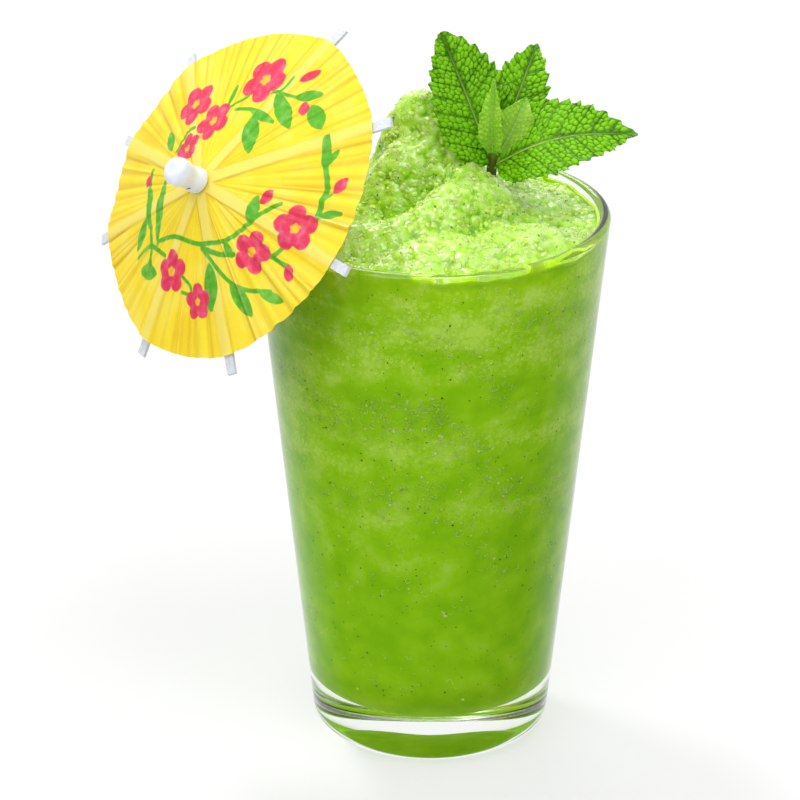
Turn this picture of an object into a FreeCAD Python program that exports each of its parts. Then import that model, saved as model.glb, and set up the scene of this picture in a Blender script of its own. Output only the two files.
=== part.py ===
import FreeCAD, Part
import math
import os

from FreeCAD import Vector

# A frozen lime and mint drink, heaped above the rim of a conical glass tumbler, with a mint
# sprig and a paper cocktail umbrella standing in it.
# Millimetres. The origin is the centre of the ring that the glass stands on, +Z is up, the
# umbrella leans towards -X and the sprig grows on the +X side.

# ---------------------------------------------------------------- glass
RIM_RADIUS = 43.5
FOOT_RADIUS = 29.0
GLASS_HEIGHT = 136.5
RIM_WALL = 2.8
FOOT_WALL = 3.4
BASE_THICKNESS = 11.5
FOOT_ROUND = 6.0
FLOOR_ROUND = 13.0
LIP_ROUND = 1.25
PUSH_UP_RADIUS = 19.5
PUSH_UP_DEPTH = 3.2
PUSH_UP_ROUND = 31.2
RING_ROUND = 0.4

# ---------------------------------------------------------------- slush
FILL_CLEARANCE = 0.04
LEVEL_BELOW_RIM = 2.8
HEAP_GRID_STEPS = 44
HEAP_BLEND = 4.0
LOBE_STEEPNESS = 1.35
LOBE_SPREAD = 0.7
HEAP_EDGE_FADE = 10.0
HEAP_HEADROOM = 9.0
STUCK_CLEARANCE = 0.02
# Lobes of the heap: place x, y, height above the level, long half, short half, turn of the long half.
HEAP_LOBES = {
    "peak": (-4.0, 12.0, 28.0, 9.0, 7.0, 0.0),
    "shoulder": (3.0, 9.5, 23.5, 9.0, 7.5, -30.0),
    "peak_front": (-4.0, 4.0, 19.5, 12.0, 7.5, 20.0),
    "peak_side": (6.0, 2.0, 15.0, 9.0, 7.5, -40.0),
    "left_flank": (-17.0, 7.0, 8.5, 11.0, 10.0, 0.0),
    "ridge": (7.0, -9.0, 13.0, 16.0, 7.0, 38.0),
    "ridge_foot": (-9.0, -19.0, 7.0, 9.0, 6.5, 30.0),
    "left_front": (-21.0, -20.0, 6.5, 12.0, 9.0, 10.0),
    "front": (3.0, -27.0, 6.0, 13.0, 7.5, 15.0),
    "right_front": (20.0, -18.0, 5.0, 12.0, 8.0, 10.0),
    "right": (23.0, 5.0, 3.5, 11.0, 13.0, 0.0),
    "at_stem": (14.0, 2.5, 10.0, 5.0, 4.5, 0.0),
    "behind_stem": (15.0, 15.0, 6.5, 9.0, 9.0, 0.0),
    "back_left": (-20.0, 18.0, 4.0, 13.0, 10.0, 0.0),
}

# ---------------------------------------------------------------- umbrella
# The stick passes over the rim at this side of the glass and this high above the lip.
UMBRELLA_SIDE = -167.5
STICK_OVER_RIM = 4.6
APEX_PAST_RIM = 19.1
STICK_HEADING = -141.2
STICK_RISE = 32.3
STICK_RADIUS = 1.0
STICK_LENGTH = 90.0
STICK_POINT = 6.0
STICK_IN_FINIAL = 7.0
FIT_CLEARANCE = 0.03

CANOPY_RADIUS = 42.4
CANOPY_RISE = 12.3
PAPER_THICKNESS = 0.25
PLEATS_PER_GORE = 6
PLEAT_HEIGHT = 0.7
CANOPY_RINGS = 8
EDGE_STRAIGHTNESS = 0.35

# Ribs: angle about the stick, and how far the paper reaches past CANOPY_RADIUS over that rib.
RIBS = (
    (80.0, 1.5),
    (40.5, 1.8),
    (-6.0, -1.0),
    (-58.0, -1.5),
    (-101.0, -1.7),
    (-150.0, -0.1),
    (-182.0, 1.5),
    (-215.0, 0.6),
)
RIB_WIDTH = 2.5
RIB_THICKNESS = 0.85
RIB_PAST_EDGE = 3.8
RIB_UNDER_PAPER = 0.06

CROWN_RADIUS = 4.5
CROWN_HEIGHT = 3.0
RUNNER_RADIUS = 3.6
RUNNER_HEIGHT = 5.0
RUNNER_BELOW_EDGE = 7.0
STOP_RADIUS = 2.4
STOP_HEIGHT = 1.8
SEAT_CLEARANCE = 0.05
RING_CHAMFER = 0.3

STRUT_REACH = 23.0
STRUT_THICKNESS = 0.8
STRUT_FOOT = 1.0
STRUT_WIDTH = 1.7

FINIAL_LENGTH = 9.6
FINIAL_FLANGE_RADIUS = 3.0
FINIAL_WAIST_RADIUS = 2.45
FINIAL_BULB_RADIUS = 3.55
FINIAL_FLANGE_HEIGHT = 1.2
FINIAL_WAIST_HEIGHT = 3.4
FINIAL_BULB_HEIGHT = 6.6
FINIAL_TOP_INSET = 0.2
FINIAL_FLANGE_ROUND = 0.35
FINIAL_WAIST_ROUND = 1.2
FINIAL_SHOULDER_ROUND = 1.1
FINIAL_TOP_ROUND = 1.8

# ---------------------------------------------------------------- mint sprig
STEM_PLACE = (13.6, 5.4)
STEM_TOP_PLACE = (14.9, 4.2)
STEM_SINK = 9.0
STEM_TOP_ABOVE_LEVEL = 16.8
STEM_FOOT_RADIUS = 1.25
STEM_TOP_RADIUS = 1.0
LEAF_THICKNESS = 0.45
LEAF_ROWS = 22
LEAF_COLUMNS = 4
TOOTH_DEPTH = 0.09
PETIOLE_SHARE = 0.07
PETIOLE_HALF_WIDTH = 0.55
LEAF_OFF_STEM = 0.1
LEAF_FULLNESS = 0.8
FOLD_CURVE = 1.5
# Leaves: height share up the stem, heading, rise, length, widest half, share of the length where it
# is widest, heading and rise of the upper face, arch, fold of each half.
LEAVES = {
    "leaf_left": (0.84, 176.0, 70.5, 34.0, 8.9, 0.50, -70.0, 22.0, 1.5, 0.16),
    "leaf_back": (0.98, 50.0, 57.0, 27.5, 6.6, 0.50, -80.0, 30.0, 1.5, 0.15),
    "leaf_right": (0.68, -8.0, 18.0, 35.5, 8.2, 0.45, -84.0, 52.0, 6.0, 0.14),
    "leaf_young_left": (0.98, -88.0, 79.0, 20.5, 3.3, 0.52, -105.0, 20.0, 1.2, 0.35),
    "leaf_young_right": (0.88, 8.0, 66.0, 16.5, 3.0, 0.52, -70.0, 30.0, 1.2, 0.35),
}


# ---------------------------------------------------------------- helpers
MESH_TOLERANCE = 1e-5


def rounded_outline(corners):
    """Closed wire in the XZ plane through (radius, height, round) corners."""
    points = [Vector(radius, 0, height) for radius, height, _ in corners]
    starts = []
    ends = []
    for index, corner in enumerate(points):
        before = points[index - 1] - corner
        after = points[(index + 1) % len(points)] - corner
        half_angle = before.getAngle(after) / 2
        trim = corners[index][2] / math.tan(half_angle)
        starts.append(corner + before.normalize() * trim)
        ends.append(corner + after.normalize() * trim)
    edges = []
    for index, corner in enumerate(points):
        if corners[index][2] > 0:
            inward = (starts[index] + ends[index]) * 0.5 - corner
            reach = inward.Length
            radius = corners[index][2]
            centre_distance = math.hypot(radius, (starts[index] - corner).Length)
            middle = corner + inward * ((centre_distance - radius) / reach)
            edges.append(Part.Arc(starts[index], middle, ends[index]).toShape())
        following = starts[(index + 1) % len(points)]
        if (following - ends[index]).Length > MESH_TOLERANCE:
            edges.append(Part.LineSegment(ends[index], following).toShape())
    return Part.Wire(edges)


def turned(corners):
    """Solid of revolution about Z from (radius, height, round) corners."""
    return Part.Face(rounded_outline(corners)).revolve(Vector(0, 0, 0), Vector(0, 0, 1), 360)


def faceted_solid(points, triangles):
    """Closed solid of flat triangles, given points and index triples."""
    skin = Part.Shape()
    skin.makeShapeFromMesh((points, triangles), MESH_TOLERANCE)
    solid = Part.Solid(Part.Shell(skin.Faces))
    if solid.Volume < 0:
        solid.reverse()
    return solid


def direction(heading, rise):
    """Unit vector from a heading about Z and a rise above the level, in degrees."""
    across = math.cos(math.radians(rise))
    heading = math.radians(heading)
    return Vector(across * math.cos(heading), across * math.sin(heading), math.sin(math.radians(rise)))


def ring_solid(outer, bore, low, high):
    """Flat ring about Z with small chamfers outside."""
    return turned([
        (bore, low, 0),
        (outer - RING_CHAMFER, low, 0),
        (outer, low + RING_CHAMFER, 0),
        (outer, high - RING_CHAMFER, 0),
        (outer - RING_CHAMFER, high, 0),
        (bore, high, 0),
    ])


# ---------------------------------------------------------------- glass
def outer_radius(height):
    """Outside radius of the glass at a height."""
    return FOOT_RADIUS + (RIM_RADIUS - FOOT_RADIUS) * height / GLASS_HEIGHT


def inner_radius(height):
    """Inside radius of the glass at a height."""
    share = (height - BASE_THICKNESS) / (GLASS_HEIGHT - BASE_THICKNESS)
    return outer_radius(height) - (FOOT_WALL + (RIM_WALL - FOOT_WALL) * share)


def make_glass():
    """Tumbler with a thick base, a domed push-up under it and a rounded lip."""
    return turned([
        (0, PUSH_UP_DEPTH, 0),
        (PUSH_UP_RADIUS / 2, PUSH_UP_DEPTH, PUSH_UP_ROUND),
        (PUSH_UP_RADIUS, 0, RING_ROUND),
        (FOOT_RADIUS, 0, FOOT_ROUND),
        (RIM_RADIUS, GLASS_HEIGHT, LIP_ROUND),
        (inner_radius(GLASS_HEIGHT), GLASS_HEIGHT, LIP_ROUND),
        (inner_radius(BASE_THICKNESS), BASE_THICKNESS, FLOOR_ROUND),
        (0, BASE_THICKNESS, 0),
    ])


# ---------------------------------------------------------------- slush
LEVEL = GLASS_HEIGHT - LEVEL_BELOW_RIM


def heap_height(x, y):
    """Height of the slush surface above the table at a place."""
    total = 0.0
    for lobe_x, lobe_y, rise, long_half, short_half, turn in HEAP_LOBES.values():
        turn = math.radians(turn)
        along = ((x - lobe_x) * math.cos(turn) + (y - lobe_y) * math.sin(turn)) / long_half
        across = ((y - lobe_y) * math.cos(turn) - (x - lobe_x) * math.sin(turn)) / short_half
        reach = (along * along + across * across) ** LOBE_STEEPNESS
        total += (rise * math.exp(-LOBE_SPREAD * reach)) ** HEAP_BLEND
    edge = min(1.0, math.hypot(x, y) / inner_radius(LEVEL))
    return LEVEL + total ** (1 / HEAP_BLEND) * (1 - edge ** HEAP_EDGE_FADE)


def make_slush(stuck):
    """Slush that fills the glass and heaps up in its middle, cut round what stands in it."""
    bottom = BASE_THICKNESS + FILL_CLEARANCE
    top = LEVEL + max(lobe[2] for lobe in HEAP_LOBES.values()) + HEAP_HEADROOM
    filling = turned([
        (0, bottom, 0),
        (inner_radius(BASE_THICKNESS) - FILL_CLEARANCE, bottom, FLOOR_ROUND),
        (inner_radius(top) - FILL_CLEARANCE, top, 0),
        (0, top, 0),
    ])
    reach = inner_radius(top)
    step = 2 * reach / HEAP_GRID_STEPS
    places = [-reach + step * index for index in range(HEAP_GRID_STEPS + 1)]
    surface = Part.BSplineSurface()
    surface.interpolate([[Vector(x, y, heap_height(x, y)) for y in places] for x in places])
    below = surface.toShape().extrude(Vector(0, 0, -top))
    slush = filling.common(below)
    for cutter in stuck:
        slush = slush.cut(cutter)
    return slush.Solids[0]


# ---------------------------------------------------------------- umbrella, in its own frame
# The stick lies along Z with the finial up, and the edge of the paper lies in the plane Z = 0.
def paper_height(radius):
    """Height of the middle of the paper along a rib."""
    return CANOPY_RISE * (1 - radius / CANOPY_RADIUS)


def rib_top(radius):
    """Height of the upper face of a rib."""
    return paper_height(radius) - PAPER_THICKNESS / 2 - RIB_UNDER_PAPER


def gore_creases(gore):
    """Angle and edge radius of each crease of the gore that starts at a rib, which has the first one."""
    angle, extra = RIBS[gore]
    next_angle, next_extra = RIBS[(gore + 1) % len(RIBS)]
    start = math.radians(angle)
    turn = math.radians((next_angle - angle) % -360)
    edge = CANOPY_RADIUS + extra
    next_edge = CANOPY_RADIUS + next_extra
    creases = []
    for index in range(2 * PLEATS_PER_GORE):
        share = index / (2 * PLEATS_PER_GORE)
        arc = edge + (next_edge - edge) * share
        near = edge * math.sin(abs(turn) * share)
        far = next_edge * math.sin(abs(turn) * (1 - share))
        chord = edge * next_edge * math.sin(abs(turn)) / (near + far)
        creases.append((start + turn * share, arc + (chord - arc) * EDGE_STRAIGHTNESS))
    return creases


def make_canopy():
    """Open cone of paper with a crease over each rib and sharp pleats between the ribs."""
    creases = [crease for gore in range(len(RIBS)) for crease in gore_creases(gore)]
    columns = len(creases)
    hole = STICK_RADIUS + 2 * FIT_CLEARANCE
    points = []
    for side in (0.5, -0.5):
        for ring in range(CANOPY_RINGS + 1):
            share = ring / CANOPY_RINGS
            for column, (angle, edge) in enumerate(creases):
                radius = hole + (edge - hole) * share
                raised = PLEAT_HEIGHT * share * (column % 2)
                height = paper_height(radius) + raised + side * PAPER_THICKNESS
                points.append(Vector(radius * math.cos(angle), radius * math.sin(angle), height))
    layer = (CANOPY_RINGS + 1) * columns
    triangles = []

    def quad(a, b, c, d):
        triangles.append((a, b, c))
        triangles.append((a, c, d))

    for column in range(columns):
        after = (column + 1) % columns
        for ring in range(CANOPY_RINGS):
            inner, outer = ring * columns, (ring + 1) * columns
            quad(inner + column, outer + column, outer + after, inner + after)
            quad(
                layer + inner + column,
                layer + inner + after,
                layer + outer + after,
                layer + outer + column,
            )
        edge = CANOPY_RINGS * columns
        quad(edge + column, layer + edge + column, layer + edge + after, edge + after)
        quad(column, after, layer + after, layer + column)
    return faceted_solid(points, triangles)


def strip(profile, width):
    """Flat strip: an (x, z) outline made as wide as given, centred on the XZ plane."""
    corners = [Vector(x, -width / 2, z) for x, z in profile]
    return Part.Face(Part.makePolygon(corners + corners[:1])).extrude(Vector(0, width, 0))


def make_rib(extra):
    """Card rib from the crown to past the edge of the paper."""
    start = CROWN_RADIUS + SEAT_CLEARANCE
    end = CANOPY_RADIUS + extra + RIB_PAST_EDGE
    return strip([
        (start, rib_top(start)),
        (end, rib_top(end)),
        (end, rib_top(end) - RIB_THICKNESS),
        (start, rib_top(start) - RIB_THICKNESS),
    ], RIB_WIDTH)


def make_strut():
    """Brace from the runner up to the underside of a rib."""
    start = RUNNER_RADIUS + SEAT_CLEARANCE
    foot = -RUNNER_BELOW_EDGE + RUNNER_HEIGHT - STRUT_FOOT

    def under_rib(radius):
        return rib_top(radius) - RIB_THICKNESS - SEAT_CLEARANCE

    slope = math.atan2(under_rib(STRUT_REACH) - foot, STRUT_REACH - start)
    landing = STRUT_REACH + STRUT_THICKNESS / math.sin(slope + math.atan(CANOPY_RISE / CANOPY_RADIUS))
    return strip([
        (start, foot),
        (STRUT_REACH, under_rib(STRUT_REACH)),
        (landing, under_rib(landing)),
        (start, foot - STRUT_THICKNESS / math.cos(slope)),
    ], STRUT_WIDTH)


def make_stick(extra=0.0):
    """Pointed wooden stick, its top inside the finial; extra widens it for the hole it stands in."""
    apex = CANOPY_RISE
    radius = STICK_RADIUS + extra
    tip = apex - STICK_LENGTH - extra * STICK_POINT / STICK_RADIUS
    return turned([
        (0, tip, 0),
        (radius, apex - STICK_LENGTH + STICK_POINT, 0),
        (radius, apex + STICK_IN_FINIAL, 0),
        (0, apex + STICK_IN_FINIAL, 0),
    ])


def make_finial():
    """Waisted plastic cap over the top of the stick, with a rounded bulb."""
    bore = STICK_RADIUS + FIT_CLEARANCE
    low = CANOPY_RISE + PAPER_THICKNESS / 2 + SEAT_CLEARANCE
    bore_top = CANOPY_RISE + STICK_IN_FINIAL + SEAT_CLEARANCE
    return turned([
        (bore, low, 0),
        (FINIAL_FLANGE_RADIUS, low, FINIAL_FLANGE_ROUND),
        (FINIAL_FLANGE_RADIUS, low + FINIAL_FLANGE_HEIGHT, FINIAL_FLANGE_ROUND),
        (FINIAL_WAIST_RADIUS, low + FINIAL_WAIST_HEIGHT, FINIAL_WAIST_ROUND),
        (FINIAL_BULB_RADIUS, low + FINIAL_BULB_HEIGHT, FINIAL_SHOULDER_ROUND),
        (FINIAL_BULB_RADIUS - FINIAL_TOP_INSET, low + FINIAL_LENGTH, FINIAL_TOP_ROUND),
        (0, low + FINIAL_LENGTH, 0),
        (0, bore_top, 0),
        (bore, bore_top, 0),
    ])


def umbrella_nodes():
    """All pieces of the umbrella, in its own frame."""
    bore = STICK_RADIUS + FIT_CLEARANCE
    crown_top = rib_top(CROWN_RADIUS)
    runner_low = -RUNNER_BELOW_EDGE
    stop_top = runner_low - SEAT_CLEARANCE
    nodes = {
        "canopy": make_canopy(),
        "stick": make_stick(),
        "finial": make_finial(),
        "crown": ring_solid(CROWN_RADIUS, bore, crown_top - CROWN_HEIGHT, crown_top),
        "runner": ring_solid(RUNNER_RADIUS, bore, runner_low, runner_low + RUNNER_HEIGHT),
        "stop": ring_solid(STOP_RADIUS, bore, stop_top - STOP_HEIGHT, stop_top),
    }
    for index, (angle, extra) in enumerate(RIBS):
        for name, piece in (("rib", make_rib(extra)), ("strut", make_strut())):
            piece.rotate(Vector(0, 0, 0), Vector(0, 0, 1), angle)
            nodes[f"{name}_{index + 1}"] = piece
    return nodes


def umbrella_placement():
    """Where the umbrella's own frame lies: its stick passes over the rim and into the slush."""
    axis = direction(STICK_HEADING, STICK_RISE)
    side = Vector(0, 0, 1).cross(axis).normalize()
    up = axis.cross(side)
    over_rim = direction(UMBRELLA_SIDE, 0) * RIM_RADIUS + Vector(0, 0, GLASS_HEIGHT + STICK_OVER_RIM)
    origin = over_rim + axis * (APEX_PAST_RIM - CANOPY_RISE)
    matrix = FreeCAD.Matrix(
        side.x, up.x, axis.x, origin.x,
        side.y, up.y, axis.y, origin.y,
        side.z, up.z, axis.z, origin.z,
        0, 0, 0, 1,
    )
    return FreeCAD.Placement(matrix)


# ---------------------------------------------------------------- mint sprig
def stem_ends():
    """Foot and top of the stem's centre line."""
    x, y = STEM_PLACE
    foot = Vector(x, y, heap_height(x, y) - STEM_SINK)
    top = Vector(STEM_TOP_PLACE[0], STEM_TOP_PLACE[1], LEVEL + STEM_TOP_ABOVE_LEVEL)
    return foot, top


def make_stem(extra=0.0):
    """Slightly tapered stem; extra widens it for the hole that it stands in."""
    foot, top = stem_ends()
    length = (top - foot).Length
    return Part.makeCone(STEM_FOOT_RADIUS + extra, STEM_TOP_RADIUS + extra, length + extra, foot, top - foot)


def leaf_half_width(share, widest_at, half_width):
    """Half the width of a leaf at a share of its length: a stalk, a full blade and a point."""
    if share < PETIOLE_SHARE:
        return PETIOLE_HALF_WIDTH
    blade = (share - PETIOLE_SHARE) / (1 - PETIOLE_SHARE)
    skew = math.log(0.5) / math.log(widest_at)
    full = math.sin(math.pi * blade ** skew) ** LEAF_FULLNESS
    return PETIOLE_HALF_WIDTH * (1 - blade) + half_width * full


def make_leaf(stem_share, heading, rise, length, half_width, widest_at, face_heading, face_rise,
              arch, fold):
    """Thin arched leaf with a folded midrib and a toothed edge."""
    foot, top = stem_ends()
    along = direction(heading, rise)
    face = direction(face_heading, face_rise)
    across = along.cross(face).normalize()
    face = across.cross(along)
    outward = Vector(along.x, along.y, 0).normalize()
    start = foot + (top - foot) * stem_share + outward * (STEM_FOOT_RADIUS + LEAF_OFF_STEM)
    points = []
    for side in (0.5, -0.5):
        for row in range(LEAF_ROWS + 1):
            share = row / LEAF_ROWS
            middle = start + along * (length * share) + face * (arch * math.sin(math.pi * share))
            tooth = 1 + TOOTH_DEPTH * (row % 2) * (share > PETIOLE_SHARE)
            for column in range(-LEAF_COLUMNS, LEAF_COLUMNS + 1):
                offset = column / LEAF_COLUMNS
                half = leaf_half_width(share, widest_at, half_width)
                if abs(column) == LEAF_COLUMNS:
                    half *= tooth
                lift = fold * half_width * math.sin(math.pi * share) * abs(offset) ** FOLD_CURVE
                points.append(middle + across * (half * offset) + face * (lift + side * LEAF_THICKNESS))
    width = 2 * LEAF_COLUMNS + 1
    layer = (LEAF_ROWS + 1) * width
    triangles = []

    def quad(a, b, c, d):
        triangles.append((a, b, c))
        triangles.append((a, c, d))

    for row in range(LEAF_ROWS):
        near, far = row * width, (row + 1) * width
        for column in range(width - 1):
            quad(near + column, near + column + 1, far + column + 1, far + column)
            quad(
                layer + near + column,
                layer + far + column,
                layer + far + column + 1,
                layer + near + column + 1,
            )
        last = width - 1
        quad(near, far, layer + far, layer + near)
        quad(near + last, layer + near + last, layer + far + last, far + last)
    end = LEAF_ROWS * width
    for column in range(width - 1):
        quad(column, layer + column, layer + column + 1, column + 1)
        quad(end + column, end + column + 1, layer + end + column + 1, layer + end + column)
    return faceted_solid(points, triangles)


# ---------------------------------------------------------------- whole part
def main():
    """Builds every node and writes it to parts."""
    placement = umbrella_placement()
    nodes = {"glass": make_glass()}
    for name, piece in umbrella_nodes().items():
        piece.Placement = placement.multiply(piece.Placement)
        nodes[name] = piece
    stick_hole = make_stick(STUCK_CLEARANCE)
    stick_hole.Placement = placement
    nodes["slush"] = make_slush([stick_hole, make_stem(STUCK_CLEARANCE)])
    nodes["stem"] = make_stem()
    for name, sizes in LEAVES.items():
        nodes[name] = make_leaf(*sizes)
    os.makedirs("parts", exist_ok=True)
    for name, piece in nodes.items():
        piece.exportStep(f"parts/{name}.step")
        print(name, round(piece.Volume, 2), piece.isValid(), len(piece.Faces))


main()
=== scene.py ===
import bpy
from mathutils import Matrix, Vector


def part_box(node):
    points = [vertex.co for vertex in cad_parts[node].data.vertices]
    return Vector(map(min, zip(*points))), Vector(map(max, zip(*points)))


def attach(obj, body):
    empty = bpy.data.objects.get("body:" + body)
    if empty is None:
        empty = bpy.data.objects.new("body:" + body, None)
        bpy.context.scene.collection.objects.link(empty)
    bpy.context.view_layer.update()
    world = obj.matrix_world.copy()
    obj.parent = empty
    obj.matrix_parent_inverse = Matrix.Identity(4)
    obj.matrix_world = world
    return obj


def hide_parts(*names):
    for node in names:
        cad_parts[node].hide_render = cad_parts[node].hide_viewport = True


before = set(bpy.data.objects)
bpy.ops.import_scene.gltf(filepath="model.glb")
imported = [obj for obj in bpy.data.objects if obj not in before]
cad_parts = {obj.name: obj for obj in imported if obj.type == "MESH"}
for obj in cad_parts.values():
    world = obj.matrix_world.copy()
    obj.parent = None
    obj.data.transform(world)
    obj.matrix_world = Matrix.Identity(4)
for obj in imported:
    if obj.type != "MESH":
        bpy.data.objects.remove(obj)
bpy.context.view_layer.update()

import logging
import math
from collections.abc import Callable
from dataclasses import dataclass, field
from enum import Enum
from functools import partial
from typing import ClassVar

import bpy
import numpy as np
from mathutils import Matrix, Vector

logging.basicConfig(level=logging.INFO, format="%(levelname)s %(message)s")
LOG = logging.getLogger("frozen_mint_drink")

Piece = bpy.types.Object
Material = bpy.types.Material
Tree = bpy.types.NodeTree
Node = bpy.types.Node
Socket = bpy.types.NodeSocket
Array = np.ndarray
Dice = np.random.Generator

MM = 0.001
BODY = "root"
SEED = 20
# Corners nearer to each other than this, in metres, are merged.
SAME_PLACE = 1e-6


# ---------------------------------------------------------------- small helpers
def srgb(text: str) -> tuple:
    """Turns an sRGB hex colour into linear red, green, blue and alpha.

    Args:
        text: Colour as "#RRGGBB".

    Returns:
        Linear red, green and blue, and alpha 1.
    """
    parts = [int(text[i:i + 2], 16) / 255 for i in (1, 3, 5)]
    linear = [p / 12.92 if p <= 0.04045 else ((p + 0.055) / 1.055) ** 2.4 for p in parts]
    return (*linear, 1.0)


def deselect_all() -> None:
    """Leaves edit mode and deselects every object."""
    if bpy.context.object and bpy.context.object.mode != "OBJECT":
        bpy.ops.object.mode_set(mode="OBJECT")
    for item in list(bpy.context.selected_objects):
        item.select_set(False)


def activate(item: Piece) -> None:
    """Makes one object the only selected and the active one."""
    deselect_all()
    item.select_set(True)
    bpy.context.view_layer.objects.active = item


def apply_modifier(item: Piece, kind: str, **settings) -> None:
    """Adds a modifier to an object and applies it.

    Args:
        item: Object that gets the modifier.
        kind: Blender's name for the kind of modifier.
        settings: Values of the modifier's own properties.
    """
    activate(item)
    modifier = item.modifiers.new(kind.title(), kind)
    for name, value in settings.items():
        setattr(modifier, name, value)
    bpy.ops.object.modifier_apply(modifier=modifier.name)


def read(parts: bpy.types.bpy_prop_collection, name: str, width: int = 3, kind: type = float) -> Array:
    """Reads one property of all corners, edges or faces of a mesh, one row each.

    Args:
        parts: The mesh's vertices, edges or polygons.
        name: Name of the property.
        width: How many numbers it has.
        kind: What numbers they are.

    Returns:
        The numbers, one row for each part.
    """
    values = np.empty(len(parts) * width, dtype=kind)
    parts.foreach_get(name, values)
    return values.reshape(-1, width)


def mesh_points(item: Piece) -> Array:
    """Places of all corners of a piece, in metres, one row each."""
    return read(item.data.vertices, "co")


def node_points(node: str) -> Array:
    """Places of all corners of a CAD node, in metres, one row each."""
    return mesh_points(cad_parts[node])


def reach_of(places: Array) -> Array:
    """Distance of each place from the Z axis, in metres."""
    return np.hypot(places[:, 0], places[:, 1])


def unit(vector: Array) -> Array:
    """The same direction with a length of one."""
    return vector / np.linalg.norm(vector)


def set_points(item: Piece, places: Array) -> None:
    """Moves all corners of a piece to new places, in metres."""
    item.data.vertices.foreach_set("co", np.ascontiguousarray(places, dtype=float).ravel())
    item.data.update()


def set_attribute(item: Piece, name: str, values: Array) -> None:
    """Stores one number for each corner of a piece, for its material to read."""
    layer = item.data.attributes.new(name, "FLOAT", "POINT")
    layer.data.foreach_set("value", np.ascontiguousarray(values, dtype=float))


def edit(item: Piece, *steps: Callable) -> None:
    """Takes steps on a piece in edit mode, each with the whole mesh selected."""
    activate(item)
    bpy.ops.object.mode_set(mode="EDIT")
    for step in steps:
        bpy.ops.mesh.select_all(action="SELECT")
        step()
    bpy.ops.object.mode_set(mode="OBJECT")


def merge_doubles() -> None:
    """Merges the corners that are in the same place."""
    bpy.ops.mesh.remove_doubles(threshold=SAME_PLACE)


def face_outward() -> None:
    """Turns the normals of a closed mesh outward."""
    bpy.ops.mesh.normals_make_consistent(inside=False)


def finish_piece(item: Piece, name: str, material: Material, slot: str, *replaced: str,
                 angle: float = 180) -> None:
    """Smooths and names a piece, dresses it, lets it ride on the body and logs it.

    Args:
        item: The finished mesh object.
        name: Name that the piece gets.
        material: Its material.
        slot: Material slot of the record that it takes its finish from; it is not used.
        replaced: CAD nodes that it stands for.
        angle: Shading is smooth up to this angle between its faces, in degrees.
    """
    activate(item)
    bpy.ops.object.shade_smooth_by_angle(angle=math.radians(angle))
    item.name = name
    item.data.name = name
    item.data.materials.clear()
    item.data.materials.append(material)
    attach(item, BODY)
    if replaced:
        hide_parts(*replaced)
    LOG.info("piece %s: %d faces", name, len(item.data.polygons))


def rounded_profile(corners: list, steps: int = 6) -> list:
    """Points along a polygon whose corners are rounded by arcs.

    Args:
        corners: Radius, height and rounding of each corner, in millimetres; the path is open.
        steps: Stretches that each arc is divided into.

    Returns:
        Radius and height of each point, in metres.
    """
    path = []
    for index, (radius, height, rounding) in enumerate(corners):
        here = Vector((radius, height))
        if rounding <= 0 or index in (0, len(corners) - 1):
            path.append(here)
            continue
        before = (Vector(corners[index - 1][:2]) - here).normalized()
        after = (Vector(corners[index + 1][:2]) - here).normalized()
        half = before.angle(after) / 2
        centre = here + (before + after).normalized() * (rounding / math.sin(half))
        start = here + before * (rounding / math.tan(half)) - centre
        turn = start.angle_signed(here + after * (rounding / math.tan(half)) - centre)
        for step in range(steps + 1):
            angle = -turn * step / steps
            rotated = Vector((start.x * math.cos(angle) - start.y * math.sin(angle),
                              start.x * math.sin(angle) + start.y * math.cos(angle)))
            path.append(centre + rotated)
    return [(point.x * MM, point.y * MM) for point in path]


def spun(profile: list, segments: int) -> Piece:
    """Models a turned shape: a point is extruded along the profile, which is spun about Z.

    Args:
        profile: Radius and height of each point, in metres.
        segments: Steps round the axis.

    Returns:
        A closed mesh object with its normals outward.
    """
    deselect_all()
    bpy.ops.mesh.primitive_plane_add(size=MM, location=(0, 0, 0))
    item = bpy.context.object
    bpy.ops.object.mode_set(mode="EDIT")
    bpy.ops.mesh.select_all(action="SELECT")
    bpy.ops.mesh.merge(type="CENTER")
    bpy.ops.transform.translate(value=(profile[0][0], 0, profile[0][1]))
    for before, after in zip(profile, profile[1:]):
        bpy.ops.mesh.extrude_region_move(
            TRANSFORM_OT_translate={"value": (after[0] - before[0], 0, after[1] - before[1])})
    bpy.ops.mesh.select_all(action="SELECT")
    bpy.ops.mesh.spin(steps=segments, angle=math.tau, center=(0, 0, 0), axis=(0, 0, 1))
    edit(item, merge_doubles, face_outward)
    return item


def placed(item: Piece, matrix: Matrix) -> Piece:
    """Moves a piece's own mesh by a matrix, so that its object stays at the origin."""
    item.data.transform(matrix)
    item.data.update()
    return item


def grid(rows: int, columns: int) -> Piece:
    """Flat grid with a number of cells along X and Y; its corners run row by row along X."""
    deselect_all()
    bpy.ops.mesh.primitive_grid_add(x_subdivisions=columns, y_subdivisions=rows, size=1)
    return bpy.context.object


def turned_to(axes: Array, guides: Array) -> Array:
    """Turns that bring a grain's own Z to given axes.

    Args:
        axes: Where each grain's Z points.
        guides: A second direction for each, that its X stays near.

    Returns:
        One matrix for each grain.
    """
    along = axes / np.linalg.norm(axes, axis=1)[:, None]
    side = np.cross(guides, along)
    side /= np.linalg.norm(side, axis=1)[:, None]
    return np.stack([np.cross(along, side), side, along], -1)


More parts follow.
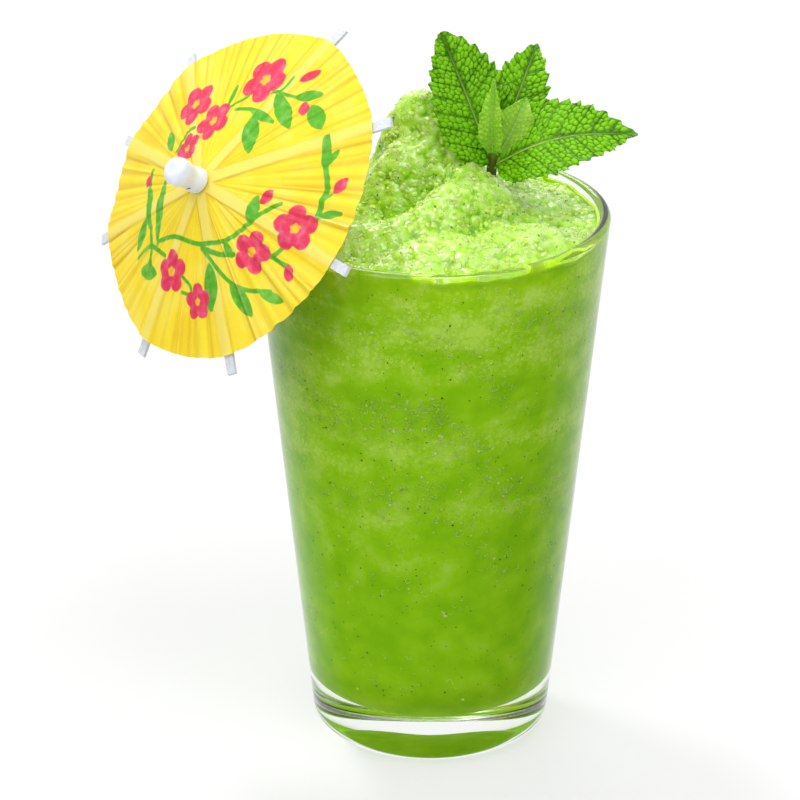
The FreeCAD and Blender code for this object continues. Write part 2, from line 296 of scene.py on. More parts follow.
def copied(name: str, shape: Piece, places: Array, sizes: Array, turns: Array) -> Piece:
    """Copies a small shape to many places, joined as one mesh, and removes the shape.

    Args:
        name: Name of the mesh.
        shape: The shape, about its own origin and of size one.
        places: Place of each copy, in metres.
        sizes: Size of each copy along its own three axes, in metres.
        turns: One matrix for each copy.

    Returns:
        The joined mesh object.
    """
    corners = mesh_points(shape)
    faces = np.array([face.vertices[:] for face in shape.data.polygons])
    bpy.data.objects.remove(shape)
    grown = np.einsum("nij,nkj->nki", turns, corners[None] * sizes[:, None, :]) + places[:, None, :]
    offsets = np.arange(len(places))[:, None, None] * len(corners)
    mesh = bpy.data.meshes.new(name)
    mesh.from_pydata(grown.reshape(-1, 3).tolist(), [],
                     (faces[None] + offsets).reshape(-1, faces.shape[1]).tolist())
    mesh.update()
    item = bpy.data.objects.new(name, mesh)
    bpy.context.collection.objects.link(item)
    return item


def grain_shape() -> Piece:
    """A rounded grain of 80 faces, a little uneven like worn ice."""
    deselect_all()
    bpy.ops.mesh.primitive_ico_sphere_add(subdivisions=2, radius=1.0)
    item = bpy.context.object
    places = mesh_points(item)
    places *= (1 + 0.12 * np.sin(places @ np.array([5.0, 3.0, 4.0])))[:, None]
    set_points(item, places)
    return item


def ring_shape() -> Piece:
    """The outline of a small bubble: a thin ring round its own Z."""
    deselect_all()
    bpy.ops.mesh.primitive_torus_add(major_segments=10, minor_segments=3, major_radius=1.0,
                                     minor_radius=0.12)
    item = bpy.context.object
    places = mesh_points(item)
    angle = np.arctan2(places[:, 1], places[:, 0])
    places[:, :2] *= (1 + 0.16 * np.sin(2 * angle + 0.5) + 0.10 * np.sin(3 * angle))[:, None]
    set_points(item, places)
    return item


# ---------------------------------------------------------------- materials
def add_node(tree: Tree, kind: str, settings: dict | None = None, links: dict | None = None) -> Node:
    """Adds a shader node with its settings and links.

    Args:
        tree: Node tree of the material.
        kind: Blender's type name of the node, without "ShaderNode".
        settings: Values by name or number: "stops" of a colour ramp as places and hex colours, a
            property of the node, or the value of a socket.
        links: What goes into each input, by its name or number: an output, or a node whose first
            output in use is taken.

    Returns:
        The new node.
    """
    node = tree.nodes.new("ShaderNode" + kind)
    for name, value in (settings or {}).items():
        if name == "stops":
            elements = node.color_ramp.elements
            while len(elements) < len(value):
                elements.new(1.0)
            for element, (place, colour) in zip(elements, value):
                element.position = place
                element.color = srgb(colour)
        elif isinstance(name, str) and hasattr(node, name):
            setattr(node, name, value)
        else:
            node.inputs[name].default_value = value
    for name, source in (links or {}).items():
        if isinstance(source, Node):
            source = next(output for output in source.outputs if output.enabled)
        tree.links.new(source, node.inputs[name])
    return node


def per_mm(size: float) -> float:
    """Texture scale at which one feature is a size in millimetres across."""
    return 1 / (size * MM)


@dataclass(frozen=True)
class Finish:
    """What a surface is made of; each kind draws its own nodes."""

    name: str
    # Size in millimetres and detail of each noise that the surface is given.
    noises: ClassVar[tuple] = ()

    def build(self) -> Material:
        """Makes the material and links what the finish draws to its output."""
        material = bpy.data.materials.new(self.name)
        material.use_nodes = True
        material.node_tree.nodes.clear()
        add = partial(add_node, material.node_tree)
        place = add("TexCoord").outputs["Object"]
        noises = [add("TexNoise", {"Scale": per_mm(size), "Detail": detail}, {"Vector": place})
                  for size, detail in self.noises]
        add("OutputMaterial", links={"Surface": self.surface(add, place, *noises)})
        return material

    def surface(self, add: Callable, place: Socket, *noises: Node) -> Node:
        """Draws the finish.

        Args:
            add: Adds a node to the material's tree, as add_node does.
            place: Object coordinates.
            noises: The nodes of its noises.

        Returns:
            The shader node that the output takes.
        """
        raise NotImplementedError


@dataclass(frozen=True)
class SodaLimeGlass(Finish):
    """Soda-lime glass, pressed and fire polished: clear and colourless, with sharp reflections."""

    name: str = "soda_lime_glass"
    noises = ((30, 1.0),)
    ior: float = 1.5
    tint: str = "#FDFFFD"

    def surface(self, add: Callable, place: Socket, waves: Node) -> Node:
        """Draws clear glass that lets lamps shine through."""
        # Pressed glass is not perfectly even: faint waves bend its reflections.
        normal = add("Bump", {"Strength": 0.1, "Distance": 0.05 * MM}, {"Height": waves})
        glass = add("BsdfPrincipled", {
            "Base Color": srgb(self.tint), "Roughness": 0.0, "IOR": self.ior,
            "Transmission Weight": 1.0}, {"Normal": normal})
        clear = add("BsdfTransparent", {"Color": srgb(self.tint)})
        path = add("LightPath")
        return add("MixShader", links={0: path.outputs["Is Shadow Ray"], 1: glass, 2: clear})


@dataclass(frozen=True)
class HeapedSlush(Finish):
    """Blended lime ice in the open: wet and translucent, frosty on its crests and deep green between, with
    painted light on crests and upward faces and painted shade in the valleys.
    """

    name: str = "heaped_lime_slush"
    noises = ((11, 3.0), (0.9, 2.0))
    # The pale frost colour also paints light on crests and upward faces; the deep green also paints shade in
    # the valleys.
    frost: str = "#C0E878"
    fresh: str = "#AEE22C"
    deep: str = "#7CC000"

    def surface(self, add: Callable, place: Socket, swirl: Node, fine: Node) -> Node:
        """Draws frost with painted light on the crests and painted shade in the valleys from the stored
        number, and grains and gloss.
        """
        crest = add("Attribute", {"attribute_name": "crest"}).outputs["Fac"]
        grains = add("TexVoronoi", {"Scale": per_mm(1.1)}, {"Vector": place})
        spread = add("Math", {"operation": "MULTIPLY_ADD", 1: 0.55, 2: -0.20}, {0: swirl})
        # Painted light and shade, with frost: crests and upward faces paler, valleys darker.
        frost_and_shading = add("Math", {"operation": "MULTIPLY_ADD", 1: 0.56}, {0: crest, 2: spread})
        speckled = add("Math", {"operation": "MULTIPLY_ADD", 1: 0.30}, {0: fine, 2: frost_and_shading})
        colour = add("ValToRGB", {
            "stops": [(0.18, self.deep), (0.45, self.fresh), (0.82, self.frost)]}, {"Fac": speckled})
        height = add("Math", {"operation": "MULTIPLY_ADD", 1: -0.7}, {0: grains, 2: fine})
        normal = add("Bump", {"Strength": 0.45, "Distance": 0.16 * MM}, {"Height": height})
        return add("BsdfPrincipled", {
            "Roughness": 0.25, "IOR": 1.33, "Subsurface Weight": 0.85,
            "Subsurface Radius": (0.0036, 0.0050, 0.0012), "Subsurface Scale": 1.0,
            "Coat Weight": 0.7, "Coat Roughness": 0.05, "Coat IOR": 1.5},
            {"Base Color": colour, "Normal": normal})


@dataclass(frozen=True)
class PressedSlush(Finish):
    """Blended lime ice pressed against glass: mottled green, frothy in leaning bands near the top."""

    name: str = "pressed_lime_slush"
    noises = ((6, 4.0), (0.9, 2.0))
    frost: str = "#CAEC60"
    fresh: str = "#A6DA14"
    deep: str = "#90CC00"
    lean: float = -24.0
    clear_below: float = 0.045
    frothy_above: float = 0.095

    def surface(self, add: Callable, place: Socket, mottle: Node, fine: Node) -> Node:
        """Draws leaning bands of froth and the grains in them."""
        # The bands lean across the glass where the blended ice was poured in layers.
        leaning = add("Mapping", {
            "Rotation": (0.0, math.radians(self.lean), 0.0), "Scale": (0.8, 0.8, 2.8)}, {"Vector": place})
        bands = add("TexNoise", {"Scale": per_mm(22), "Detail": 3.0}, {"Vector": leaning})
        grains = add("TexVoronoi", {"Scale": per_mm(1.15)}, {"Vector": place})
        up = add("SeparateXYZ", links={0: place}).outputs[2]
        froth = add("MapRange", {1: self.clear_below, 2: self.frothy_above, 3: 0.0, 4: 1.0}, {0: up})
        banded = add("MapRange", {1: 0.38, 2: 0.66}, {0: bands})
        froth_cells = add("ValToRGB", {"stops": [
            (0.16, "#303030"), (0.30, "#FFFFFF"), (0.46, "#505050")]}, {"Fac": grains})
        speckle = add("Math", {"operation": "MULTIPLY_ADD", 1: 1.1}, {0: fine, 2: froth_cells})
        frothy = add("Math", {"operation": "MULTIPLY"}, {0: banded, 1: froth})
        speckled = add("Math", {"operation": "MULTIPLY"}, {0: frothy, 1: speckle})
        mixed = add("Math", {"operation": "MULTIPLY_ADD", 1: 0.55}, {0: speckled, 2: mottle})
        colour = add("ValToRGB", {
            "stops": [(0.35, self.deep), (0.62, self.fresh), (1.0, self.frost)]}, {"Fac": mixed})
        height = add("Math", {"operation": "MULTIPLY_ADD", 1: -0.8}, {0: grains, 2: fine})
        normal = add("Bump", {"Strength": 0.35, "Distance": 0.15 * MM}, {"Height": height})
        return add("BsdfPrincipled", {
            "Roughness": 0.4, "IOR": 1.33, "Specular IOR Level": 0.1, "Subsurface Weight": 0.4,
            "Subsurface Radius": (0.0025, 0.0032, 0.0006), "Subsurface Scale": 1.0},
            {"Base Color": colour, "Normal": normal})


@dataclass(frozen=True)
class IceGrain(Finish):
    """Crushed ice wet with syrup: small rounded grains, pale and shiny, tinted by the drink."""

    name: str = "crushed_ice_grain"
    noises = ((2.5, 1.0),)
    pale: str = "#D2F48A"
    tinted: str = "#B0E830"
    clouded: float = 0.6

    def surface(self, add: Callable, place: Socket, cloud: Node) -> Node:
        """Draws a clouded, glossy grain."""
        colour = add("ValToRGB", {"stops": [(0.35, self.tinted), (0.7, self.pale)]}, {"Fac": cloud})
        return add("BsdfPrincipled", {
            "Roughness": 0.06, "IOR": 1.33, "Subsurface Weight": self.clouded, "Specular IOR Level": 0.8,
            "Subsurface Radius": (0.0012, 0.0014, 0.0004), "Subsurface Scale": 1.0}, {"Base Color": colour})


@dataclass(frozen=True)
class ChoppedHerb(Finish):
    """Chopped mint and lime zest: dark green flecks, wet and soft."""

    name: str = "chopped_mint_fleck"
    noises = ((3, 1.0),)
    dark: str = "#2C4408"
    light: str = "#5A7610"

    def surface(self, add: Callable, place: Socket, cloud: Node) -> Node:
        """Draws flecks of two greens."""
        colour = add("ValToRGB", {"stops": [(0.4, self.dark), (0.65, self.light)]}, {"Fac": cloud})
        return add("BsdfPrincipled", {"Roughness": 0.5}, {"Base Color": colour})


@dataclass(frozen=True)
class MintLeaf(Finish):
    """Fresh spearmint leaf: waxy quilted green with pale veins, slightly translucent, its cells painted
    lighter on their domes and darker between them as painted light and shade.
    """

    name: str = "spearmint_leaf"
    noises = ((6, 2.0), (0.35, 2.0))
    # The green runs from dark to light with random patches, and as painted shade and light from the hollows
    # between cells to their domes.
    dark: str = "#1C6200"
    light: str = "#8CD418"
    vein: str = "#D0F078"
    thinness: float = 0.25

    def surface(self, add: Callable, place: Socket, patch: Node, pores: Node) -> Node:
        """Draws the quilted green, with painted light on the cells' domes and painted shade between them,
        and the veins from the stored numbers.
        """
        dome, vein = (add("Attribute", {"attribute_name": name}).outputs["Fac"] for name in ("dome", "vein"))
        spread = add("Math", {"operation": "MULTIPLY_ADD", 1: 0.6, 2: -0.05}, {0: patch})
        # Painted light and shade: the stored bulge makes the cells' domes light and the hollows between them
        # dark.
        shade = add("Math", {"operation": "MULTIPLY_ADD", 1: 0.72}, {0: dome, 2: spread})
        green = add("ValToRGB", {"stops": [(0.22, self.dark), (0.82, self.light)]}, {"Fac": shade})
        colour = add("Mix", {"data_type": "RGBA", 7: srgb(self.vein)}, {0: vein, 6: green})
        normal = add("Bump", {"Strength": 0.5, "Distance": 0.05 * MM}, {"Height": pores})
        blade = add("BsdfPrincipled", {
            "Roughness": 0.36, "Specular IOR Level": 0.22, "Subsurface Weight": 0.1,
            "Subsurface Radius": (0.0004, 0.001, 0.0002), "Subsurface Scale": 1.0},
            {"Base Color": colour.outputs[2], "Normal": normal})
        through = add("BsdfTranslucent", links={"Color": colour.outputs[2]})
        return add("MixShader", {0: self.thinness}, {1: blade, 2: through})


@dataclass(frozen=True)
class MintStem(Finish):
    """Mint stem: square, dark purple-brown where it ages and green above."""

    name: str = "mint_stem"
    noises = ((2, 3.0),)
    low: float = 0.143
    high: float = 0.152

    def surface(self, add: Callable, place: Socket, streak: Node) -> Node:
        """Draws the change from brown to green with fine streaks."""
        up = add("SeparateXYZ", links={0: place}).outputs[2]
        share = add("MapRange", {1: self.low, 2: self.high}, {0: up})
        shade = add("Math", {"operation": "MULTIPLY_ADD", 1: 0.3}, {0: streak, 2: share})
        colour = add("ValToRGB", {
            "stops": [(0.2, "#33200F"), (0.7, "#5D5A1E"), (1.0, "#6E9A35")]}, {"Fac": shade})
        normal = add("Bump", {"Strength": 0.4, "Distance": 0.1 * MM}, {"Height": streak})
        return add("BsdfPrincipled", {"Roughness": 0.45}, {"Base Color": colour, "Normal": normal})


class Print(Enum):
    """Inks of the paper's print, by the name of the distance that each is stored as."""

    PINK = "pink_print"
    GREEN = "green_print"
    YELLOW = "yellow_print"


@dataclass(frozen=True)
class TissuePaper(Finish):
    """Waxed tissue paper, printed and crinkled: bright yellow, lighter over the white card ribs, with
    painted shade along its folds and in a thin strip next to each rib.
    """

    name: str = "printed_tissue_paper"
    noises = ((9, 4.0), (0.7, 3.0), (2, 3.0))
    yellow: str = "#FFEA30"
    pale: str = "#FFF066"
    shaded: str = "#FCE122"
    over_rib: str = "#FFF488"
    # Painted shade colour, multiplied in along the folds and next to each rib.
    fold: str = "#DDB81E"
    behind: str = "#FFF3A0"
    inks: tuple = ((Print.GREEN, "#58BC1C", "#8CD458"), (Print.PINK, "#EC2C63", "#F5739A"),
                   (Print.YELLOW, "#FFC92E", "#FFDD5A"))
    edge: float = 0.10

    def surface(self, add: Callable, place: Socket, fibre: Node, crumple: Node, streak: Node) -> Node:
        """Draws the paper, what shows through it, painted shade along its folds and next to its ribs, and
        its three inks.
        """
        rib, fold = (add("Attribute", {"attribute_name": name}).outputs["Fac"] for name in ("rib", "fold"))
        colour = add("ValToRGB", {
            "stops": [(0.3, self.shaded), (0.5, self.yellow), (0.75, self.pale)]}, {"Fac": fibre})
        share = add("Math", {"operation": "MULTIPLY", 1: 0.6}, {0: rib})
        colour = add("Mix", {"data_type": "RGBA", 7: srgb(self.over_rib)}, {0: share, 6: colour}).outputs[2]
        # The inks are thin, so the paper's own streaks show through them.
        thin = add("MapRange", {1: 0.45, 2: 0.75}, {0: streak})
        ragged = add("Math", {"operation": "MULTIPLY_ADD", 1: 0.14, 2: -0.07}, {0: crumple})
        for printed, full, faint in self.inks:
            distance = add("Attribute", {"attribute_name": printed.value}).outputs["Fac"]
            rough = add("Math", {"operation": "ADD"}, {0: distance, 1: ragged})
            inked = add("MapRange", {1: self.edge, 2: -self.edge}, {0: rough})
            ink = add("Mix", {"data_type": "RGBA", 6: srgb(full), 7: srgb(faint)}, {0: thin})
            colour = add("Mix", {"data_type": "RGBA"}, {0: inked, 6: colour, 7: ink.outputs[2]}).outputs[2]
        # Painted shade: the stored folds darken the paper along the creases and in a strip next to each rib.
        share = add("Math", {"operation": "MULTIPLY", 1: 0.9}, {0: fold})
        colour = add("Mix", {"data_type": "RGBA", "blend_type": "MULTIPLY",
                     7: srgb(self.fold)}, {0: share, 6: colour}).outputs[2]
        normal = add("Bump", {"Strength": 0.8, "Distance": 0.09 * MM}, {"Height": crumple})
        paper = add("BsdfPrincipled", {"Roughness": 0.42}, {"Base Color": colour, "Normal": normal})
        glow = add("Mix", {"data_type": "RGBA", 0: 0.5, 7: srgb(self.behind)}, {6: colour})
        through = add("BsdfTranslucent", links={"Color": glow.outputs[2]})
        return add("MixShader", {0: 0.3}, {1: paper, 2: through})


@dataclass(frozen=True)
class PlainStock(Finish):
    """Plain stock of two near colours with a fine relief, such as card, wood or moulded plastic."""

    dark: str
    light: str
    cloud: float
    relief: float
    roughness: float
    inner_glow: float = 0.0

    def surface(self, add: Callable, place: Socket) -> Node:
        """Draws the clouded colour and the relief."""
        cloud = add("TexNoise", {"Scale": per_mm(self.cloud), "Detail": 3.0}, {"Vector": place})
        colour = add("ValToRGB", {"stops": [(0.3, self.dark), (0.7, self.light)]}, {"Fac": cloud})
        normal = add("Bump", {"Strength": 0.5, "Distance": self.relief * MM}, {"Height": cloud})
        return add("BsdfPrincipled", {
            "Roughness": self.roughness, "Subsurface Weight": self.inner_glow,
            "Subsurface Radius": (0.001, 0.001, 0.001), "Subsurface Scale": 1.0},
            {"Base Color": colour, "Normal": normal})


# White pressed card: matt, with short fibres; a little grey against a white table.
PRESSED_CARD = PlainStock("pressed_card", "#C2C6D0", "#D6DAE2", 0.7, 0.04, 0.6)
# Turned birch: pale and satin, with fine grain.
TURNED_BIRCH = PlainStock("turned_birch", "#C69A62", "#E8C995", 1.2, 0.05, 0.5)
# White polypropylene, injection moulded: slightly blue, satin and a little waxy.
MOULDED_PLASTIC = PlainStock("moulded_polypropylene", "#D3D9E6", "#E6EAF3", 5.0, 0.03, 0.28, inner_glow=0.2)
# The shade inside the moulding's slit.
SLIT_SHADE = PlainStock("slit_shade", "#3A3D45", "#5A5E68", 1.0, 0.02, 0.7)


# ---------------------------------------------------------------- tumbler
@dataclass
class Tumbler:
    """Conical glass tumbler: thick base, domed push-up under it, rounded lip."""

    foot_radius: float = 29.0
    rim_wall: float = 2.8
    foot_wall: float = 3.4
    base_thickness: float = 11.5
    foot_round: float = 6.0
    floor_round: float = 13.0
    lip_round: float = 1.3
    push_up_radius: float = 19.5
    push_up_depth: float = 3.2
    segments: int = 224
    height: float = field(init=False)
    rim_radius: float = field(init=False)

    def __post_init__(self) -> None:
        """Takes the overall sizes from the frame."""
        low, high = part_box("glass")
        self.height = (high.z - low.z) / MM
        self.rim_radius = (high.x - low.x) / 2 / MM + 0.08

    def outer(self, height: float) -> float:
        """Outside radius at a height, in millimetres."""
        return self.foot_radius + (self.rim_radius - self.foot_radius) * height / self.height

    def inner(self, height: float) -> float:
        """Inside radius at a height, in millimetres."""
        share = (height - self.base_thickness) / (self.height - self.base_thickness)
        return self.outer(height) - (self.foot_wall + (self.rim_wall - self.foot_wall) * share)

    def build(self, material: Material) -> None:
        """Spins the whole wall, base and lip as one closed shape."""
        profile = rounded_profile([
            (0, self.push_up_depth, 0),
            (self.push_up_radius / 2, self.push_up_depth, self.push_up_radius * 1.6),
            (self.push_up_radius, 0, 0.4),
            (self.foot_radius, 0, self.foot_round),
            (self.outer(self.height), self.height, self.lip_round),
            (self.inner(self.height), self.height, self.lip_round),
            (self.inner(self.base_thickness), self.base_thickness, self.floor_round),
            (0, self.base_thickness, 0),
        ], steps=10)
        item = spun(profile, self.segments)
        finish_piece(item, "tumbler", material, "glass", "glass")


# ---------------------------------------------------------------- slush
@dataclass(frozen=True)
class Scattered:
    """One kind of small thing scattered over the slush, all over or in bands; sizes in millimetres."""

    name: str
    shape: Callable
    finish: Finish
    count: int
    small: float
    large: float
    stretch: tuple
    lift: float = 0.0
    banded: bool = False


ICE = IceGrain()
# The bubbles' rings are painted pale as a painted highlight where a bubble's film catches the light as it
# breaks the surface, and are greener behind the glass.
RIM_HIGHLIGHTS = IceGrain("bubble_rim_highlights", "#FAFFD8", "#E0F69C", 0.2)
FROTH_HIGHLIGHTS = IceGrain("bubble_froth_highlights", "#E2F794", "#C2EA58", 0.3)
HERB = ChoppedHerb()
ON_HEAP = (
    Scattered("ice_grains", grain_shape, ICE, 2400, 0.22, 0.80, (1.3, 0.9, 0.8), -0.35),
    Scattered("bubble_rings", ring_shape, RIM_HIGHLIGHTS, 3100, 0.24, 0.62, (1.0, 1.0, 1.2), 0.12),
    Scattered("herb_flecks", grain_shape, HERB, 500, 0.10, 0.28, (1.2, 0.8, 0.4), 0.02),
)
ON_WALL = (
    Scattered("pressed_rings", ring_shape, FROTH_HIGHLIGHTS, 3100, 0.30, 0.85, (1.0, 1.0, 0.30), banded=True),
    Scattered("pressed_grains", grain_shape, ICE, 2400, 0.18, 0.45, (1.0, 1.0, 0.35), banded=True),
    Scattered("pressed_flecks", grain_shape, HERB, 1500, 0.09, 0.24, (1.0, 1.0, 0.6)),
)


@dataclass
class Slush:
    """Blended ice that fills the tumbler and heaps up above its rim; sizes in millimetres."""

    tumbler: Tumbler
    into_wall: float = 0.15
    heap_depth: float = 7.0
    behind_filling: float = 0.35
    voxel: float = 0.36
    relief: tuple = (("swells", "CLOUDS", 9.0, 1.6), ("lumps", "VORONOI", 5.0, -1.1),
                     ("knobs", "VORONOI", 2.7, -0.75), ("granules", "VORONOI", 1.4, -0.32))
    lean_on_heap: float = 0.35
    lean_on_wall: float = 0.08
    relief_fades_within: float = 1.6
    ripple_fades_within: float = 6.0
    ripple_waves: tuple = ((3, 0.45, 1.0), (7, 0.35, 2.0), (13, 0.22, 0.5), (29, 0.14, 4.0), (47, 0.10, 1.5))
    side_within: float = 0.8
    filling_above_level: float = 0.6
    shoulder: float = 6.0
    # The surroundings that a crest is measured against grow with these rounds of averaging.
    crest_rounds: tuple = (3, 19, 59)
    crest_height: float = 1.6

    def wall_radius(self, heights: Array) -> Array:
        """Radius of the slush against the glass at heights, all in metres."""
        return (self.tumbler.inner(heights / MM) + self.into_wall) * MM

    def level(self) -> float:
        """Height where the heap meets the glass, in metres."""
        places = node_points("slush")
        at_wall = places[reach_of(places) > self.wall_radius(places[:, 2]) - 0.3 * MM]
        return at_wall[:, 2].max()

    def ripple(self, places: Array) -> Array:
        """Rise and fall of the slush's edge in the direction of each place, in metres."""
        angles = np.arctan2(places[:, 1], places[:, 0])
        return sum(size * np.sin(count * angles + phase) for count, size, phase in self.ripple_waves) * MM

    def build(self) -> None:
        """Makes the heap, the filling and what is scattered over both."""
        heap = self.heap_shape()
        set_attribute(heap, "crest", self.crest(heap))
        finish_piece(heap, "slush_heap", HeapedSlush().build(), "slush", "slush")
        self.build_filling(PressedSlush().build())
        materials = {finish.name: finish.build() for finish in (ICE, RIM_HIGHLIGHTS, FROTH_HIGHLIGHTS, HERB)}
        self.scatter_on_heap(heap, materials)
        self.scatter_on_wall(materials)

    def heap_shape(self) -> Piece:
        """Copies the top of the CAD slush, remeshes it finely and raises lumps and grains on it."""
        cut = self.level() - self.heap_depth * MM
        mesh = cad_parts["slush"].data.copy()
        item = bpy.data.objects.new("slush_heap", mesh)
        bpy.context.collection.objects.link(item)
        halve = partial(bpy.ops.mesh.bisect, plane_co=(0, 0, cut), plane_no=(0, 0, 1), use_fill=True,
                        clear_inner=True)
        edit(item, merge_doubles, halve)
        apply_modifier(item, "REMESH", mode="VOXEL", voxel_size=self.voxel * MM)
        apply_modifier(item, "SMOOTH", factor=0.5, iterations=4)
        start = mesh_points(item)
        for name, kind, size, rise in self.relief:
            texture = bpy.data.textures.new(name, kind)
            texture.noise_scale = size * MM
            if kind == "VORONOI":
                texture.distance_metric = "DISTANCE_SQUARED"
            apply_modifier(item, "DISPLACE", texture=texture, texture_coords="LOCAL", direction="NORMAL",
                           mid_level=0.3, strength=rise * MM)
        self.against_wall(item, start, cut)
        return item

    def against_wall(self, item: Piece, start: Array, cut: float) -> None:
        """Keeps the heap inside the glass, its side just behind the filling and its underside flat.

        Args:
            item: The heap.
            start: Places of its corners before lumps were raised.
            cut: Height of its underside, in metres.
        """
        places = mesh_points(item)
        radius = reach_of(start)
        limit = self.wall_radius(start[:, 2])
        free = np.clip((limit - radius) / (self.relief_fades_within * MM), 0, 1)[:, None]
        free[start[:, 2] < cut + 0.4 * MM] = 0
        places = start + (places - start) * free
        outward = places[:, :2] / np.maximum(reach_of(places), 1e-9)[:, None]
        near = np.clip(1 - (limit - radius) / (self.ripple_fades_within * MM), 0, 1)
        lifted = np.clip((start[:, 2] - cut) / (5 * MM), 0, 1)
        places[:, 2] += self.ripple(places) * near * lifted
        side = radius > limit - self.side_within * MM
        below = np.clip((self.level() - 0.6 * MM - start[:, 2]) / (0.8 * MM), 0, 1)
        pressed = limit - self.behind_filling * MM * below
        places[side, :2] = outward[side] * pressed[side, None]
        set_points(item, places)

    def crest(self, item: Piece) -> Array:
        """How far each corner stands out of its surroundings, from 0 in a valley to 1 on crests, raised on
        upward faces and lowered near the wall: frost with painted light on crests and upward faces, painted
        shade in valleys.
        """
        mesh = item.data
        places = mesh_points(item)
        edges = read(mesh.edges, "vertices", 2, np.int64)
        count = np.bincount(edges.ravel(), minlength=len(places))[:, None]
        normals = read(mesh.vertices, "normal")
        total = np.zeros(len(places))
        blurred = places.copy()
        for turn in range(self.crest_rounds[-1] + 1):
            summed = np.stack([np.bincount(edges[:, 0], blurred[edges[:, 1], axis], len(places))
                               + np.bincount(edges[:, 1], blurred[edges[:, 0], axis], len(places))
                               for axis in range(3)], -1)
            blurred = summed / np.maximum(count, 1)
            if turn in self.crest_rounds:
                total += ((places - blurred) * normals).sum(1)
        # Painted light: faces turned upward are made paler.
        painted_top_light = 0.25 * (normals[:, 2] - 0.4)
        from_wall = self.wall_radius(places[:, 2]) - reach_of(places)
        inside = np.clip(from_wall / (4 * MM), 0.3, 1)
        return np.clip(0.45 + total / (self.crest_height * MM) + painted_top_light, 0, 1) * inside

    def build_filling(self, material: Material) -> None:
        """Spins the slush that fills the tumbler, a hair into its wall, up to the edge of the heap."""
        glass = self.tumbler
        top = self.level() / MM + self.filling_above_level
        floor = glass.base_thickness - self.into_wall
        low = top - self.shoulder
        profile = rounded_profile([
            (0, floor, 0),
            (glass.inner(floor) + self.into_wall, floor, glass.floor_round),
            (glass.inner(low) + self.into_wall, low, 0),
            (glass.inner(top) + self.into_wall, top, 0),
            (glass.inner(top) - 0.5, top - 0.2, 0),
            (glass.inner(top) - 1.5, low, 0),
            (0, low, 0),
        ], steps=12)
        item = spun(profile, glass.segments)
        places = mesh_points(item)
        upper = places[:, 2] > (top - 1) * MM
        places[upper, 2] += self.ripple(places[upper])
        set_points(item, places)
        finish_piece(item, "slush_filling", material, "slush", angle=50)

    @staticmethod
    def scatter(kind: Scattered, material: Material, places: Array, outward: Array, lean: float,
                dice: Dice) -> None:
        """Makes one kind of scattered thing as one mesh.

        Args:
            kind: What is scattered.
            material: Its material.
            places: Where each stands on the surface, in metres.
            outward: Where the surface faces there.
            lean: How far each leans away from that.
            dice: Source of random numbers.
        """
        size = (kind.small + (kind.large - kind.small) * dice.random((len(places), 1)) ** 2.0) * MM
        sizes = size * np.array(kind.stretch) * (0.75 + 0.5 * dice.random((len(places), 3)))
        leaning = outward + lean * dice.normal(size=outward.shape)
        turns = turned_to(leaning, dice.normal(size=outward.shape))
        item = copied(kind.name, kind.shape(), places + outward * size * kind.lift, sizes, turns)
        finish_piece(item, kind.name, material, "slush")

    def scatter_on_heap(self, heap: Piece, materials: dict) -> None:
        """Scatters ice grains, bubbles' rings and herb flecks over the heap.

        Args:
            heap: The finished heap.
            materials: Material of each finish, by its name.
        """
        dice = np.random.default_rng(SEED)
        mesh = heap.data
        centres, normals = read(mesh.polygons, "center"), read(mesh.polygons, "normal")
        top = np.nonzero((centres[:, 2] > self.level() - 2.5 * MM)
                         & (reach_of(centres) < self.wall_radius(centres[:, 2]) - 0.7 * MM))[0]
        for kind in ON_HEAP:
            picked = dice.choice(top, kind.count, replace=False)
            material = materials[kind.finish.name]
            self.scatter(kind, material, centres[picked], normals[picked], self.lean_on_heap, dice)

    def scatter_on_wall(self, materials: dict) -> None:
        """Presses bubbles' rings, ice grains and herb flecks against the glass.

        Args:
            materials: Material of each finish, by its name.
        """
        dice = np.random.default_rng(SEED + 1)
        low = self.tumbler.base_thickness + 6
        high = self.level() / MM - 1.5
        for kind in ON_WALL:
            tries = kind.count * 12
            angles = dice.random(tries) * math.tau
            heights = low + (high - low) * dice.random(tries)
            kept = np.arange(kind.count)
            if kind.banded:
                # Froth gathers in leaning bands, and there is less of it near the bottom.
                lean = heights * 0.9 + 22 * np.sin(angles + 0.8) + 4 * np.sin(5 * angles)
                band = np.sin(lean * 0.30) + 0.6 * np.sin(lean * 0.11 + 1.0) + 0.4 * np.sin(3 * angles)
                likely = np.clip(band * 0.5 + 0.2, 0.02, 1) * np.clip((heights - 35) / 50, 0.04, 1)
                kept = np.nonzero(dice.random(tries) < likely)[0][:kind.count]
            angles, heights = angles[kept], heights[kept] * MM
            outward = np.stack([np.cos(angles), np.sin(angles), np.zeros(len(angles))], -1)
            places = outward * self.wall_radius(heights)[:, None]
            places[:, 2] = heights
            self.scatter(kind, materials[kind.finish.name], places, outward, self.lean_on_wall, dice)


# ---------------------------------------------------------------- umbrella
@dataclass(frozen=True)
class Blossom:
    """Five-petalled flower: place on the paper, reach of a petal and turn, in millimetres and degrees."""

    x: float
    y: float
    reach: float
    turn: float

    def distance(self, x: Array, y: Array) -> Array:
        """Distance to the edge of the flower, negative inside."""
        best = np.hypot(x - self.x, y - self.y) - self.reach * 0.42
        for petal in range(5):
            angle = math.radians(self.turn + 72 * petal)
            across = x - self.x - 0.62 * self.reach * math.cos(angle)
            up = y - self.y - 0.62 * self.reach * math.sin(angle)
            best = np.minimum(best, np.hypot(across, up) - self.reach * 0.41)
        return best


